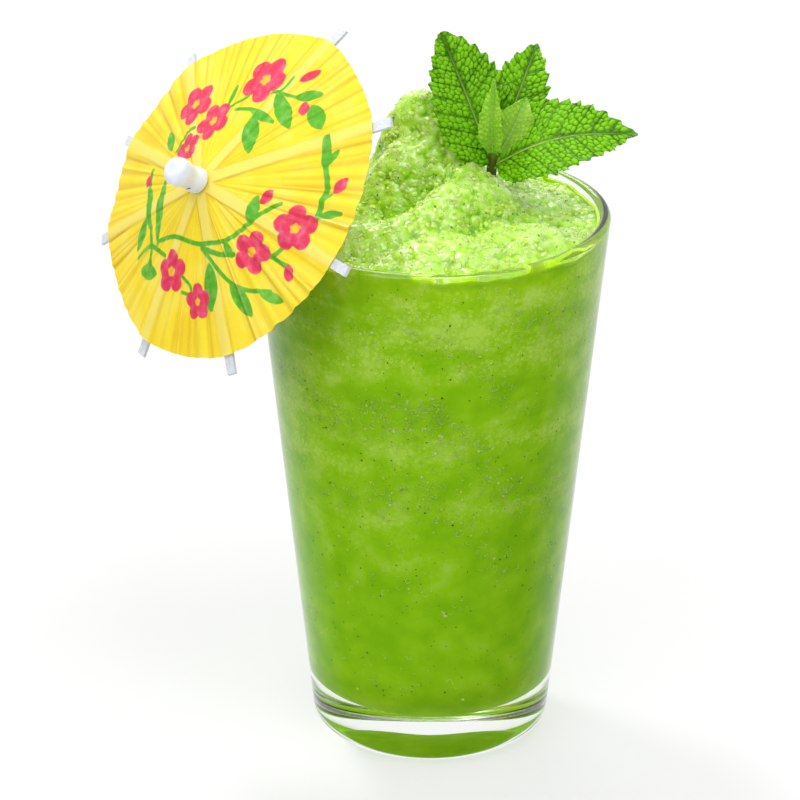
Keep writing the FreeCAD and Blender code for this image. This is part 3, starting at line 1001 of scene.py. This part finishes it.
@dataclass(frozen=True)
class Blade:
    """Pointed leaf or bud from one place to another, with its widest half, in millimetres."""

    x0: float
    y0: float
    x1: float
    y1: float
    half: float

    def distance(self, x: Array, y: Array) -> Array:
        """Distance to the edge of the blade, negative inside."""
        run, rise = self.x1 - self.x0, self.y1 - self.y0
        length = math.hypot(run, rise)
        along = ((x - self.x0) * run + (y - self.y0) * rise) / length
        across = np.abs((y - self.y0) * run - (x - self.x0) * rise) / length
        # Two arcs through both tips: each is a circle's edge.
        radius = (length * length / 4 + self.half * self.half) / (2 * self.half)
        return np.hypot(along - length / 2, across + radius - self.half) - radius


@dataclass(frozen=True)
class Vine:
    """Thin stalk along a few places, in millimetres."""

    places: tuple
    half: float = 0.42

    def distance(self, x: Array, y: Array) -> Array:
        """Distance to the edge of the stalk, negative inside."""
        corners = [np.array(place, dtype=float) for place in self.places]
        corners = [corners[0], *corners, corners[-1]]
        route = []
        for a, b, c, d in zip(corners, corners[1:], corners[2:], corners[3:]):
            for t in np.linspace(0, 1, 7)[:-1]:
                route.append(0.5 * (2 * b + (c - a) * t + (2 * a - 5 * b + 4 * c - d) * t ** 2
                                    + (3 * b - a - 3 * c + d) * t ** 3))
        route.append(corners[-1])
        best = np.full_like(x, 1e3)
        for start, end in zip(route, route[1:]):
            step = end - start
            along, up = x - start[0], y - start[1]
            share = np.clip((along * step[0] + up * step[1]) / (step @ step + 1e-9), 0, 1)
            best = np.minimum(best, np.hypot(along - share * step[0], up - share * step[1]))
        return best - self.half


BLOSSOMS = tuple(Blossom(*row) for row in (
    (-3.0, 28.5, 6.3, 82), (-21.4, 16.5, 5.7, 80), (-10.2, 14.5, 5.2, 75), (-13.5, 6.0, 4.2, 60),
    (28.6, -0.6, 5.6, 110), (20.2, -9.9, 5.0, 90), (-2.7, -22.2, 5.0, 105), (8.5, -26.0, 4.2, 110),
))
BUDS = tuple(Blade(*row) for row in (
    (7.2, 31.3, 11.2, 35.9, 1.3), (12.5, 27.4, 14.9, 24.2, 1.4), (33.0, 10.4, 34.6, 15.3, 1.3),
    (17.5, 1.1, 19.0, 5.5, 1.3), (30.5, -8.8, 32.0, -12.6, 1.4), (-25.6, -3.6, -25.3, -6.9, 1.2),
))
BLADES = tuple(Blade(*row) for row in (
    (1.2, 20.2, 7.9, 10.6, 2.2), (3.7, 26.5, 13.9, 20.0, 2.1), (8.9, 27.3, 16.3, 30.9, 1.5),
    (14.9, 27.4, 21.5, 23.0, 2.2), (-8.8, 18.6, -11.1, 25.3, 0.8), (-0.5, 20.3, 8.5, 19.9, 1.1),
    (17.1, -4.9, 15.9, 3.1, 1.6), (28.4, 14.0, 24.3, 23.1, 1.2), (28.0, 15.5, 28.9, 20.6, 0.9),
    (32.5, 4.0, 37.1, 7.1, 1.1), (9.5, -16.3, 13.8, -26.5, 2.3), (16.4, -18.5, 25.7, -23.7, 1.9),
    (25.8, -17.9, 32.3, -17.2, 1.3), (-20.3, 3.7, -26.6, 7.9, 1.4), (-19.6, -13.0, -19.8, -21.8, 1.6),
    (-16.1, -25.2, -8.5, -24.4, 1.9), (11.9, -10.4, 15.5, -13.1, 1.0), (-16.0, -3.0, -11.5, -18.0, 1.1),
    (-22.5, -6.0, -17.0, -15.5, 1.2),
))
VINES = tuple(Vine(*row) for row in (
    (((-8.6, 18.4), (-6.7, 20.5), (-4.2, 23.3)),), (((1.8, 26.2), (4.6, 27.8), (5.2, 31.8)),),
    (((2.9, 26.9), (8.4, 27.4), (12.4, 28.5)),),
    (((24.2, 21.7), (27.1, 16.5), (30.8, 11.7), (31.8, 7.1), (32.5, 2.8)), 0.7),
    (((31.8, 7.7), (32.8, 10.0)),), (((32.3, 3.7), (34.7, 5.6), (37.1, 6.8)), 0.6),
    (((-10.8, -17.0), (-4.8, -14.4), (4.4, -13.5), (11.3, -10.6), (14.5, -7.7), (17.0, -3.8),
      (19.8, 0.4), (22.3, 3.2)), 0.55),
    (((5.9, -14.1), (9.1, -15.3), (15.6, -18.2), (21.7, -18.5), (28.0, -16.4)), 0.5),
    (((6.2, -14.0), (11.6, -13.6), (15.6, -12.2)), 0.6), (((23.7, -9.4), (26.1, -8.5), (27.6, -5.8)), 0.55),
    (((25.6, -8.9), (28.5, -9.3), (30.6, -9.3)), 0.55), (((1.1, -22.1), (4.2, -23.1), (5.5, -24.4)),),
    (((2.4, -25.6), (5.0, -25.4)),), (((11.4, -25.6), (13.7, -26.2)), 0.6),
    (((-5.3, 19.2), (-0.8, 20.6), (4.2, 20.9), (8.1, 19.9)), 0.5),
    (((-18.0, 4.2), (-17.4, 9.5), (-15.5, 11.2)), 0.5),
    (((-25.5, -2.3), (-22.1, -9.0), (-16.4, -14.9), (-12.9, -21.0), (-13.0, -24.5)), 0.6),
    (((-16.8, -3.7), (-15.9, -8.9), (-13.6, -14.2), (-11.1, -17.7)), 0.6),
    (((-18.5, -22.9), (-16.3, -20.4), (-13.4, -18.8), (-6.9, -19.5)), 0.55),
))


@dataclass
class Umbrella:
    """Paper cocktail umbrella on a stick: canopy, ribs, braces, runner and finial."""

    columns: int = 384
    rings: int = 84
    paper: float = 0.18
    hub_hole: float = 1.1
    rib_width: float = 2.5
    rib_lift: float = 0.3
    sag: float = 0.9
    creases_per_gore: int = 6
    crease_height: float = 0.75
    finial_length: float = 9.6
    bulb: float = 3.55
    waist: float = 2.8
    flange: float = 3.15
    axis: Vector = field(init=False)
    matrix: Matrix = field(init=False)
    slope: float = field(init=False)
    rib_angles: list = field(init=False)
    edge_angles: Array = field(init=False)
    edge_reach: Array = field(init=False)

    def __post_init__(self) -> None:
        """Finds the umbrella's own frame, its cone and its ribs from the CAD nodes."""
        runner = node_points("runner").mean(0)
        finial = node_points("finial").mean(0)
        axis = unit(finial - runner)
        side = unit(np.cross((0, 0, 1), axis))
        up = np.cross(axis, side)
        turn = np.array([side, up, axis])
        ribs = [(node_points(f"rib_{i}") - runner) @ turn.T for i in range(1, 9)]
        self.rib_angles = [math.atan2(rib[:, 1].mean(), rib[:, 0].mean()) for rib in ribs]
        radii = reach_of(ribs[0])
        near, far = radii < radii.mean(), radii > radii.mean()
        self.slope = float((ribs[0][near, 2].mean() - ribs[0][far, 2].mean())
                           / (radii[far].mean() - radii[near].mean()))
        canopy = (node_points("canopy") - runner) @ turn.T
        reach = reach_of(canopy)
        hub = reach < reach.min() + 0.3 * MM
        apex = canopy[hub, 2].mean() + self.slope * reach[hub].mean()
        origin = runner + axis * apex
        self.axis = Vector(axis)
        self.matrix = Matrix.Translation(Vector(origin)) @ Matrix(
            [(side[i], up[i], axis[i]) for i in range(3)]).to_4x4()
        outer = reach > 0.85 * reach.max()
        self.edge_angles, self.edge_reach = self.rim(
            np.arctan2(canopy[outer, 1], canopy[outer, 0]), reach[outer])

    @staticmethod
    def rim(angles: Array, reach: Array) -> tuple:
        """Furthest reach of the paper in each direction.

        Args:
            angles: Directions of corners near the edge.
            reach: Distance of each from the stick, in metres.

        Returns:
            Directions and the reach in each.
        """
        bins = np.round(np.degrees(angles)).astype(int)
        kept = [(np.radians(b), reach[bins == b].max()) for b in np.unique(bins)]
        limit = np.median([r for _, r in kept]) - 2.5 * MM
        kept = [(a, r) for a, r in kept if r > limit]
        even = np.radians(np.arange(-180, 180, 1.0))
        found = np.interp(even, [a for a, _ in kept], [r for _, r in kept], period=math.tau)
        window = np.hanning(13)
        padded = np.concatenate([found[-6:], found, found[:6]])
        return even, np.convolve(padded, window / window.sum(), "valid")

    def edge(self, angles: Array) -> Array:
        """Reach of the paper in given directions, in metres."""
        return np.interp(angles, self.edge_angles, self.edge_reach, period=math.tau)

    def off_rib(self, angles: Array) -> Array:
        """Angle from each direction to the nearest rib."""
        gaps = [np.abs((angles - rib + math.pi) % math.tau - math.pi) for rib in self.rib_angles]
        return np.min(gaps, axis=0)

    def creases(self, angles: Array, share: Array, dice: Dice) -> tuple:
        """Height of the paper's creases, in metres, and how sharply it is folded, which is kept as painted
        shade along the folds.

        Args:
            angles: Direction of each corner.
            share: How far out each corner lies, from 0 at the hub to 1 at the edge.
            dice: Source of random numbers.

        Returns:
            Height of each corner above the cone, and its fold from 0 to 1, used as painted shade.
        """
        height = np.zeros_like(angles)
        fold = np.zeros_like(angles)
        ordered = sorted(self.rib_angles)
        for start, end in zip(ordered, ordered[1:] + [ordered[0] + math.tau]):
            for index in range(self.creases_per_gore):
                stray = 0.5 * (dice.random() - 0.5)
                middle = start + (end - start) * (index + 0.5 + stray) / self.creases_per_gore
                width = math.radians(1.1 + 2.4 * dice.random())
                begins = 0.05 + 0.6 * dice.random() ** 1.5
                size = self.crease_height * MM * (0.35 + 0.65 * dice.random())
                lean = math.radians(4.0) * (dice.random() - 0.5)
                off = np.abs((angles - middle - lean * (1 - share) + math.pi) % math.tau - math.pi)
                ridge = np.clip(1 - off / width, 0, 1)
                grows = np.clip((share - begins) / (1 - begins), 0, 1) ** 0.8
                height += size * ridge * grows
                # Painted shade: a dark line at the foot of each crease.
                foot = np.exp(-((off - width) / math.radians(0.5)) ** 2)
                fold = np.maximum(fold, foot * np.clip(grows * 3, 0, 1) * (0.3 + 0.7 * dice.random()))
        for waves, size in ((37, 0.10), (61, 0.07), (97, 0.05)):
            phase = dice.random() * math.tau
            drift = 0.6 * np.sin(7 * share + phase)
            height += size * MM * np.sin(waves * angles + phase + drift) * share ** 0.6
        return height, fold

    def build_canopy(self, material: Material) -> None:
        """Bends a flat grid into the pleated cone, prints it and gives it thickness."""
        item = grid(self.rings, self.columns)
        count = (self.columns + 1, self.rings + 1)
        index = np.arange(count[0] * count[1])
        column, ring = index % count[0], index // count[0]
        angles = math.tau * (column % self.columns) / self.columns - math.pi
        share = ring / self.rings
        edge = self.edge(angles)
        hub = self.hub_hole * MM
        radius = hub + (edge - hub) * share
        dice = np.random.default_rng(SEED + 1)
        crease, fold = self.creases(angles, share, dice)
        off_rib = self.off_rib(angles) * radius
        half = self.rib_width / 2 * MM
        over_rib = np.clip(1 - (off_rib - half) / (0.5 * MM), 0, 1)
        # Between the ribs the paper sags a little, most at the edge.
        sag = -self.sag * MM * share ** 2 * np.clip(off_rib / (14 * MM), 0, 1) ** 0.8
        lift = self.rib_lift * MM * over_rib * np.clip(share * 6, 0, 1)
        height = -self.slope * radius + crease * (1 - over_rib) + sag + lift + 0.25 * MM
        places = np.stack([radius * np.cos(angles), radius * np.sin(angles), height], -1)
        set_points(item, places)
        x, y = places[:, 0] / MM, places[:, 1] / MM
        shapes = {
            Print.PINK: (*BLOSSOMS, *BUDS),
            Print.GREEN: (*BLADES, *VINES),
            Print.YELLOW: tuple(Blossom(b.x, b.y, b.reach * 0.24, b.turn) for b in BLOSSOMS),
        }
        for ink, drawn in shapes.items():
            set_attribute(item, ink.value, np.min([shape.distance(x, y) for shape in drawn], axis=0))
        set_attribute(item, "rib", over_rib)
        past = (off_rib - half) / MM
        # Painted shade: a thin dark strip just off each rib's edge, stored with the folds.
        rib_edge_shade = 0.7 * np.clip(past / 0.2, 0, 1) * np.clip(1 - past / 0.9, 0, 1) * np.clip(1.2 - share, 0, 1)
        set_attribute(item, "fold", np.maximum(fold * (1 - over_rib), rib_edge_shade))
        edit(item, merge_doubles, face_outward)
        apply_modifier(item, "SOLIDIFY", thickness=self.paper * MM, offset=0.0)
        placed(item, self.matrix)
        finish_piece(item, "paper_canopy", material, "paper", "canopy", angle=40)

    def build_finial(self, material: Material, shade: Material) -> None:
        """Spins the waisted cap and marks the moulding slit next to its flange with a small dark piece of
        painted shade.
        """
        low = min((self.matrix.inverted() @ Vector(p)).z for p in node_points("finial")) / MM
        profile = rounded_profile([
            (0, low, 0),
            (self.flange, low, 0.5),
            (self.flange, low + 1.8, 1.0),
            (self.waist, low + 3.6, 3.2),
            (self.bulb, low + 6.4, 2.4),
            (self.bulb - 0.15, low + self.finial_length, 2.2),
            (0, low + self.finial_length, 0),
        ], steps=8)
        item = spun(profile, 64)
        placed(item, self.matrix)
        finish_piece(item, "finial_cap", material, "white_plastic", "finial")
        # Painted shade: a small dark grain stands in for the shade inside the slit.
        angle = math.radians(-62)
        outward = Vector((math.cos(angle), math.sin(angle), 0))
        place = self.matrix @ (outward * (self.waist + 0.12) * MM + Vector((0, 0, (low + 3.2) * MM)))
        slit = copied("finial_slit_shade", grain_shape(), np.array([place]), np.array([[0.13, 0.75, 0.13]]) * MM,
                      turned_to(np.array([self.matrix.to_3x3() @ outward]), np.array([self.axis])))
        finish_piece(slit, "finial_slit_shade", shade, "white_plastic", angle=60)

    def dress(self, card: Material, wood: Material, plastic: Material) -> None:
        """Gives the CAD ribs, braces, rings and stick their finishes and broken edges."""
        for index in range(1, 9):
            for kind in ("rib", "strut"):
                self.dress_node(f"{kind}_{index}", card, 0.12)
        for name in ("crown", "runner", "stop"):
            self.dress_node(name, plastic, 0.1)
        self.dress_node("stick", wood, 0.0)

    @staticmethod
    def dress_node(name: str, material: Material, edge: float) -> None:
        """Sets one CAD node's material and rounds its edges by a radius in millimetres."""
        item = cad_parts[name]
        item.data.materials.clear()
        item.data.materials.append(material)
        if edge:
            bevel = item.modifiers.new("Bevel", "BEVEL")
            bevel.width = edge * MM
            bevel.segments = 2
            bevel.limit_method = "ANGLE"
        LOG.info("node %s: %s", name, material.name)


# ---------------------------------------------------------------- mint sprig
@dataclass
class Leaf:
    """One mint leaf, laid along its CAD node: sizes in millimetres."""

    node: str
    half_width: float
    arch: float
    fold: float
    widest: float = 0.42
    fullness: float = 0.75
    point: float = 0.9
    teeth: int = 11
    tooth: float = 1.2
    quilt: float = 0.6
    vein_pairs: int = 7
    cell: float = 1.3
    side_veins: float = 0.0
    base_width: float = 1.2
    stalk: float = 0.03
    thickness: float = 0.32
    tooth_rises_for: float = 0.78
    midrib: float = 0.32
    off_joint: float = 0.35
    young: bool = False
    rows: int = 150
    columns: int = 64

    def lay(self, stem_top: Array, joint: Array) -> tuple:
        """Start, length and directions of the leaf from its CAD node.

        Args:
            stem_top: Upper end of the stem.
            joint: Place on the stem that the leaves grow from.

        Returns:
            The start, the unit vectors along, across and out of the upper face, and the length.
        """
        places = node_points(self.node)
        nearest = places[np.argmin(np.linalg.norm(places - stem_top, axis=1))]
        tip_corner = places[np.argmax(np.linalg.norm(places - nearest, axis=1))]
        start = places[np.linalg.norm(places - nearest, axis=1) < 1.3 * MM].mean(0)
        start = joint + (start - joint) * self.off_joint
        length = np.linalg.norm(tip_corner - start)
        along = unit(tip_corner - start)
        spread = places - places.mean(0)
        spread = spread - np.outer(spread @ along, along)
        face = np.linalg.svd(spread, full_matrices=False)[2][1]
        face = unit(face - (face @ along) * along)
        if face @ np.array([0.0, -0.7, 0.7]) < 0:
            face = -face
        return start, along, np.cross(face, along), face, length

    def outline(self, share: Array) -> Array:
        """Half width at shares of the length, in metres."""
        blade = np.clip((share - self.stalk) / (1 - self.stalk), 0, 1)
        skew = math.log(0.5) / math.log(self.widest)
        bluntness = self.fullness + (self.point - self.fullness) * np.clip(blade * 1.6 - 0.6, 0, 1)
        full = np.sin(math.pi * blade ** skew) ** bluntness
        return (self.base_width * (1 - blade) ** 3 + self.half_width * full) * MM

    def build(self, material: Material, stem_top: Array, joint: Array, seed: int) -> None:
        """Shapes a flat grid into the leaf: toothed edge, sunk veins, raised cells, fold and arch."""
        start, along, across, face, length = self.lay(stem_top, joint)
        item = grid(self.rows, self.columns)
        dice = np.random.default_rng(seed)
        index = np.arange((self.columns + 1) * (self.rows + 1))
        side = (index % (self.columns + 1)) / self.columns * 2 - 1
        share = (index // (self.columns + 1)) / self.rows
        half = self.outline(share)
        phase = share * self.teeth + 0.15 * np.sign(side)
        saw = phase - np.floor(phase)
        rises = self.tooth_rises_for
        tooth = np.where(saw < rises, saw / rises, (1 - saw) / (1 - rises))
        size = self.tooth * MM * np.clip(np.sin(math.pi * np.clip(share * 1.02 - 0.05, 0, 1)), 0, 1) ** 0.5
        outer = np.abs(side) ** 8
        reach = np.abs(side) * half + outer * size * (tooth - 0.5)
        forward = share * length + outer * size * 0.9 * (tooth - 0.3)
        vein, dome = self.veins(share, side, half, length, dice)
        fade = np.clip(half / (2.2 * MM), 0, 1)
        height = self.quilt * MM * dome * fade
        height += self.fold * reach - 0.15 * MM * np.exp(-(reach / (0.5 * MM)) ** 2) * fade
        height += self.arch * MM * np.sin(math.pi * share)
        swell = np.sin(share * 17 + 2.0 * np.sign(side) + dice.random() * 6) * 0.5 * MM
        height += swell * np.abs(side) ** 2 * fade
        places = (start + np.outer(forward, along) + np.outer(np.sign(side) * reach, across)
                  + np.outer(height, face))
        set_points(item, places)
        set_attribute(item, "vein", vein)
        set_attribute(item, "dome", dome)
        apply_modifier(item, "SOLIDIFY", thickness=self.thickness * MM, offset=-1.0)
        edit(item, face_outward)
        slot = "young_leaf" if self.young else "leaf"
        finish_piece(item, f"mint_{self.node}", material, slot, self.node, angle=60)

    def veins(self, share: Array, side: Array, half: Array, length: float, dice: Dice) -> tuple:
        """How much vein shows at each place, and how far the cells between veins bulge.

        Args:
            share: How far along the leaf each corner lies.
            side: How far to the side, from -1 to 1.
            half: Half width there, in metres.
            length: Length of the leaf, in metres.
            dice: Source of random numbers.

        Returns:
            Vein from 0 to 1 and bulge from 0 to 1; the bulge also paints the domes lighter and the hollows
            between cells darker, as painted light and shade.
        """
        away = np.abs(side) * half
        # Side veins leave the midrib at a slant and turn towards the tip.
        lane_width = length / (self.vein_pairs + 1.5)
        lane = (share * length - 0.75 * away) / lane_width
        lane_gap = np.abs(lane - np.round(lane)) * lane_width
        middle = np.exp(-(away / (self.midrib * MM)) ** 2)
        lateral = np.exp(-(lane_gap / (0.16 * MM)) ** 2) * np.clip(1.2 - np.abs(side), 0, 1)
        fading = np.clip(1.4 - 1.2 * share, 0.15, 1)
        vein = np.clip(middle * fading + self.side_veins * lateral, 0, 1)
        gap = self.cell_gap(lane * lane_width, np.sign(side) * away, dice)
        bulge = np.clip(gap / (0.55 * self.cell * MM), 0, 1) ** 0.7
        bulge *= 1 - 0.8 * np.exp(-(lane_gap / (0.35 * MM)) ** 2)
        return vein, bulge * (1 - np.exp(-(away / (0.8 * MM)) ** 2))

    def cell_gap(self, along: Array, across: Array, dice: Dice) -> Array:
        """Distance from each place to the fine vein round its cell, in metres.

        Args:
            along: Place along the leaf, sheared with its side veins, in metres.
            across: Place across the leaf, in metres.
            dice: Source of random numbers.

        Returns:
            Difference between the distances to the two nearest cell middles.
        """
        pitch = self.cell * MM
        rows = np.arange(along.min() - pitch, along.max() + pitch, pitch)
        columns = np.arange(across.min() - pitch, across.max() + pitch, pitch)
        middles = np.array([(u, v + 0.5 * pitch * (i % 2)) for i, u in enumerate(rows) for v in columns])
        middles += (dice.random(middles.shape) - 0.5) * 0.8 * pitch
        nearest = np.full(len(along), 1.0)
        second = np.full(len(along), 1.0)
        for middle in middles:
            distance = np.hypot(along - middle[0], across - middle[1])
            second = np.minimum(second, np.maximum(nearest, distance))
            nearest = np.minimum(nearest, distance)
        return second - nearest


@dataclass
class MintSprig:
    """Mint sprig: a stem with three grown and two young leaves."""

    leaves: tuple = (
        Leaf("leaf_left", 9.9, 1.2, 0.20, teeth=12, fullness=0.58, point=0.62, off_joint=0.1),
        Leaf("leaf_back", 7.2, 1.5, 0.15, teeth=9, fullness=0.62, off_joint=0.8, point=0.8),
        Leaf("leaf_right", 9.8, 6.0, 0.12, teeth=13, fullness=0.62, widest=0.40, off_joint=0.2),
        Leaf("leaf_young_left", 2.8, 1.6, 0.60, teeth=6, tooth=0.35, quilt=0.16, vein_pairs=12, cell=0.9,
             side_veins=0.4, off_joint=1.0, young=True),
        Leaf("leaf_young_right", 5.2, 1.4, 0.30, teeth=5, tooth=0.35, quilt=0.16, vein_pairs=10, cell=0.9,
             side_veins=0.4, off_joint=1.0, young=True),
    )
    stem_radius: float = 1.2
    joint_below_top: float = 4.5

    def build(self, grown: Material, young: Material, stem: Material) -> None:
        """Makes the stem and all leaves."""
        places = node_points("stem")
        top = places[places[:, 2] > places[:, 2].max() - 1.2 * MM].mean(0)
        foot = places[places[:, 2] < places[:, 2].min() + 1.2 * MM].mean(0)
        self.build_stem(foot, top, stem)
        joint = top + unit(foot - top) * self.joint_below_top * MM
        for number, leaf in enumerate(self.leaves):
            leaf.build(young if leaf.young else grown, top, joint, SEED + 10 + number)

    def build_stem(self, foot: Array, top: Array, material: Material) -> None:
        """Extrudes the square stem along the CAD stem, its width wavering a little along its length."""
        length = float(np.linalg.norm(top - foot))
        deselect_all()
        bpy.ops.mesh.primitive_circle_add(vertices=32, radius=self.stem_radius * MM, fill_type="NGON")
        item = bpy.context.object
        bpy.ops.object.mode_set(mode="EDIT")
        bpy.ops.mesh.select_all(action="SELECT")
        for step in range(12):
            bpy.ops.mesh.extrude_region_move(TRANSFORM_OT_translate={"value": (0, 0, length / 12)})
            swell = 1.0 + 0.05 * math.sin(step * 1.9) - 0.01
            bpy.ops.transform.resize(value=(swell, swell, 1), center_override=(0, 0, 0))
        bpy.ops.object.mode_set(mode="OBJECT")
        bent = mesh_points(item)
        angle = np.arctan2(bent[:, 1], bent[:, 0])
        bent[:, :2] *= (1 + 0.10 * np.cos(4 * angle))[:, None]
        set_points(item, bent)
        turn = Vector((0, 0, 1)).rotation_difference(Vector(top - foot))
        placed(item, Matrix.Translation(Vector(foot)) @ turn.to_matrix().to_4x4())
        edit(item, face_outward)
        finish_piece(item, "mint_stem", material, "stem", "stem", angle=50)


# ---------------------------------------------------------------- studio
@dataclass(frozen=True)
class WhiteTable(Finish):
    """Matt white board, lit from under as well, so that it stays white round the contact shadow."""

    name: str = "white_table"
    board: str = "#A4A4A4"
    glow: float = 0.49

    def surface(self, add: Callable, place: Socket) -> Node:
        """Draws the glowing matt white."""
        return add("BsdfPrincipled", {
            "Base Color": srgb(self.board), "Roughness": 0.9, "Specular IOR Level": 0.1,
            "Emission Color": (1, 1, 1, 1), "Emission Strength": self.glow})


@dataclass
class Studio:
    """White floor, soft white light and the camera."""

    camera_place: tuple = (-0.00765, -1.01621, 0.52614)
    camera_pitch: float = 90 - 23.39
    lens: float = 202.5
    aim: tuple = (0, 0, 0.08)
    # Name of each lamp, where it stands, its side in metres and its power in watts.
    lamps: tuple = (("key", (0.25, -0.60, 1.40), 0.7, 8.6), ("fill", (-0.8, -1.0, 1.0), 1.0, 6.5),
                    ("back", (-0.25, 1.2, 1.1), 0.7, 6.0), ("glint", (-0.35, 0.45, 1.25), 0.18, 6.0))

    def build(self) -> None:
        """Makes the floor, the sky, the lamps and the camera."""
        self.build_floor()
        self.build_sky()
        for lamp in self.lamps:
            self.build_lamp(*lamp)
        data = bpy.data.cameras.new("camera")
        data.lens = self.lens
        data.sensor_width = 36.0
        data.clip_end = 20.0
        camera = bpy.data.objects.new("camera", data)
        camera.location = self.camera_place
        camera.rotation_euler = (math.radians(self.camera_pitch), 0, 0)
        bpy.context.collection.objects.link(camera)
        bpy.context.scene.camera = camera
        bpy.context.scene.view_settings.view_transform = "Standard"

    @staticmethod
    def build_floor() -> None:
        """Makes a wide white floor."""
        deselect_all()
        bpy.ops.mesh.primitive_plane_add(size=8.0, location=(0, 0, 0))
        floor = bpy.context.object
        floor.name = "floor"
        floor.data.materials.append(WhiteTable().build())
        floor.visible_glossy = False

    @staticmethod
    def build_sky() -> None:
        """Makes a white sky, with the dark cards that only glass and gloss show."""
        world = bpy.data.worlds.new("sky")
        bpy.context.scene.world = world
        world.use_nodes = True
        world.node_tree.nodes.clear()
        add = partial(add_node, world.node_tree)
        place = add("TexCoord").outputs["Generated"]
        split = add("SeparateXYZ", links={0: place})
        side = add("Math", {"operation": "ABSOLUTE"}, {0: split.outputs[0]})
        card = add("MapRange", {1: 0.80, 2: 0.94, 3: 1.0, 4: 0.2}, {0: side})
        behind = add("MapRange", {1: -0.25, 2: 0.05, 3: 0.14, 4: 1.0}, {0: split.outputs[1]})
        above = add("MapRange", {1: 0.35, 2: 0.6, 3: 0.05, 4: 1.0}, {0: split.outputs[2]})
        ahead = add("MapRange", {1: 0.0, 2: 0.8, 3: 0.0, 4: 0.9}, {0: split.outputs[1]})
        mirrored = add("Math", {"operation": "MAXIMUM"}, {0: above, 1: ahead})
        through = add("Math", {"operation": "MULTIPLY"}, {0: card, 1: behind})
        path = add("LightPath")
        shown = add("Mix", {"data_type": "FLOAT"},
                    {0: path.outputs["Is Transmission Ray"], 2: mirrored, 3: through})
        shiny = add("Math", {"operation": "MAXIMUM"},
                    {0: path.outputs["Is Glossy Ray"], 1: path.outputs["Is Transmission Ray"]})
        seen = add("Mix", {"data_type": "FLOAT", 2: 0.62, 3: 1.0}, {0: path.outputs["Is Camera Ray"]})
        level = add("Mix", {"data_type": "FLOAT"}, {0: shiny, 2: seen, 3: shown})
        back = add("Background", {"Color": (1, 1, 1, 1)}, {"Strength": level})
        add("OutputWorld", links={"Surface": back})

    def build_lamp(self, name: str, place: tuple, size: float, power: float) -> None:
        """Adds a square lamp that shines at the drink.

        Args:
            name: Name of the lamp.
            place: Where it stands, in metres.
            size: Its side, in metres.
            power: Its power, in watts.
        """
        data = bpy.data.lights.new(name, "AREA")
        data.size = size
        data.energy = power
        lamp = bpy.data.objects.new(name, data)
        lamp.location = place
        aim = Vector(self.aim) - Vector(place)
        lamp.rotation_euler = aim.to_track_quat("-Z", "Y").to_euler()
        lamp.visible_camera = False
        lamp.visible_transmission = False
        bpy.context.collection.objects.link(lamp)


# ---------------------------------------------------------------- whole drink
def main() -> None:
    """Builds the studio and every piece of the drink."""
    Studio().build()
    tumbler = Tumbler()
    tumbler.build(SodaLimeGlass().build())
    Slush(tumbler).build()
    umbrella = Umbrella()
    plastic = MOULDED_PLASTIC.build()
    umbrella.build_canopy(TissuePaper().build())
    umbrella.build_finial(plastic, SLIT_SHADE.build())
    umbrella.dress(PRESSED_CARD.build(), TURNED_BIRCH.build(), plastic)
    MintSprig().build(MintLeaf().build(),
                      MintLeaf("young_spearmint_leaf", "#84CC1C", "#C6F05A", "#E8FAA4", 0.35).build(),
                      MintStem().build())


if __name__ == "__main__":
    main()
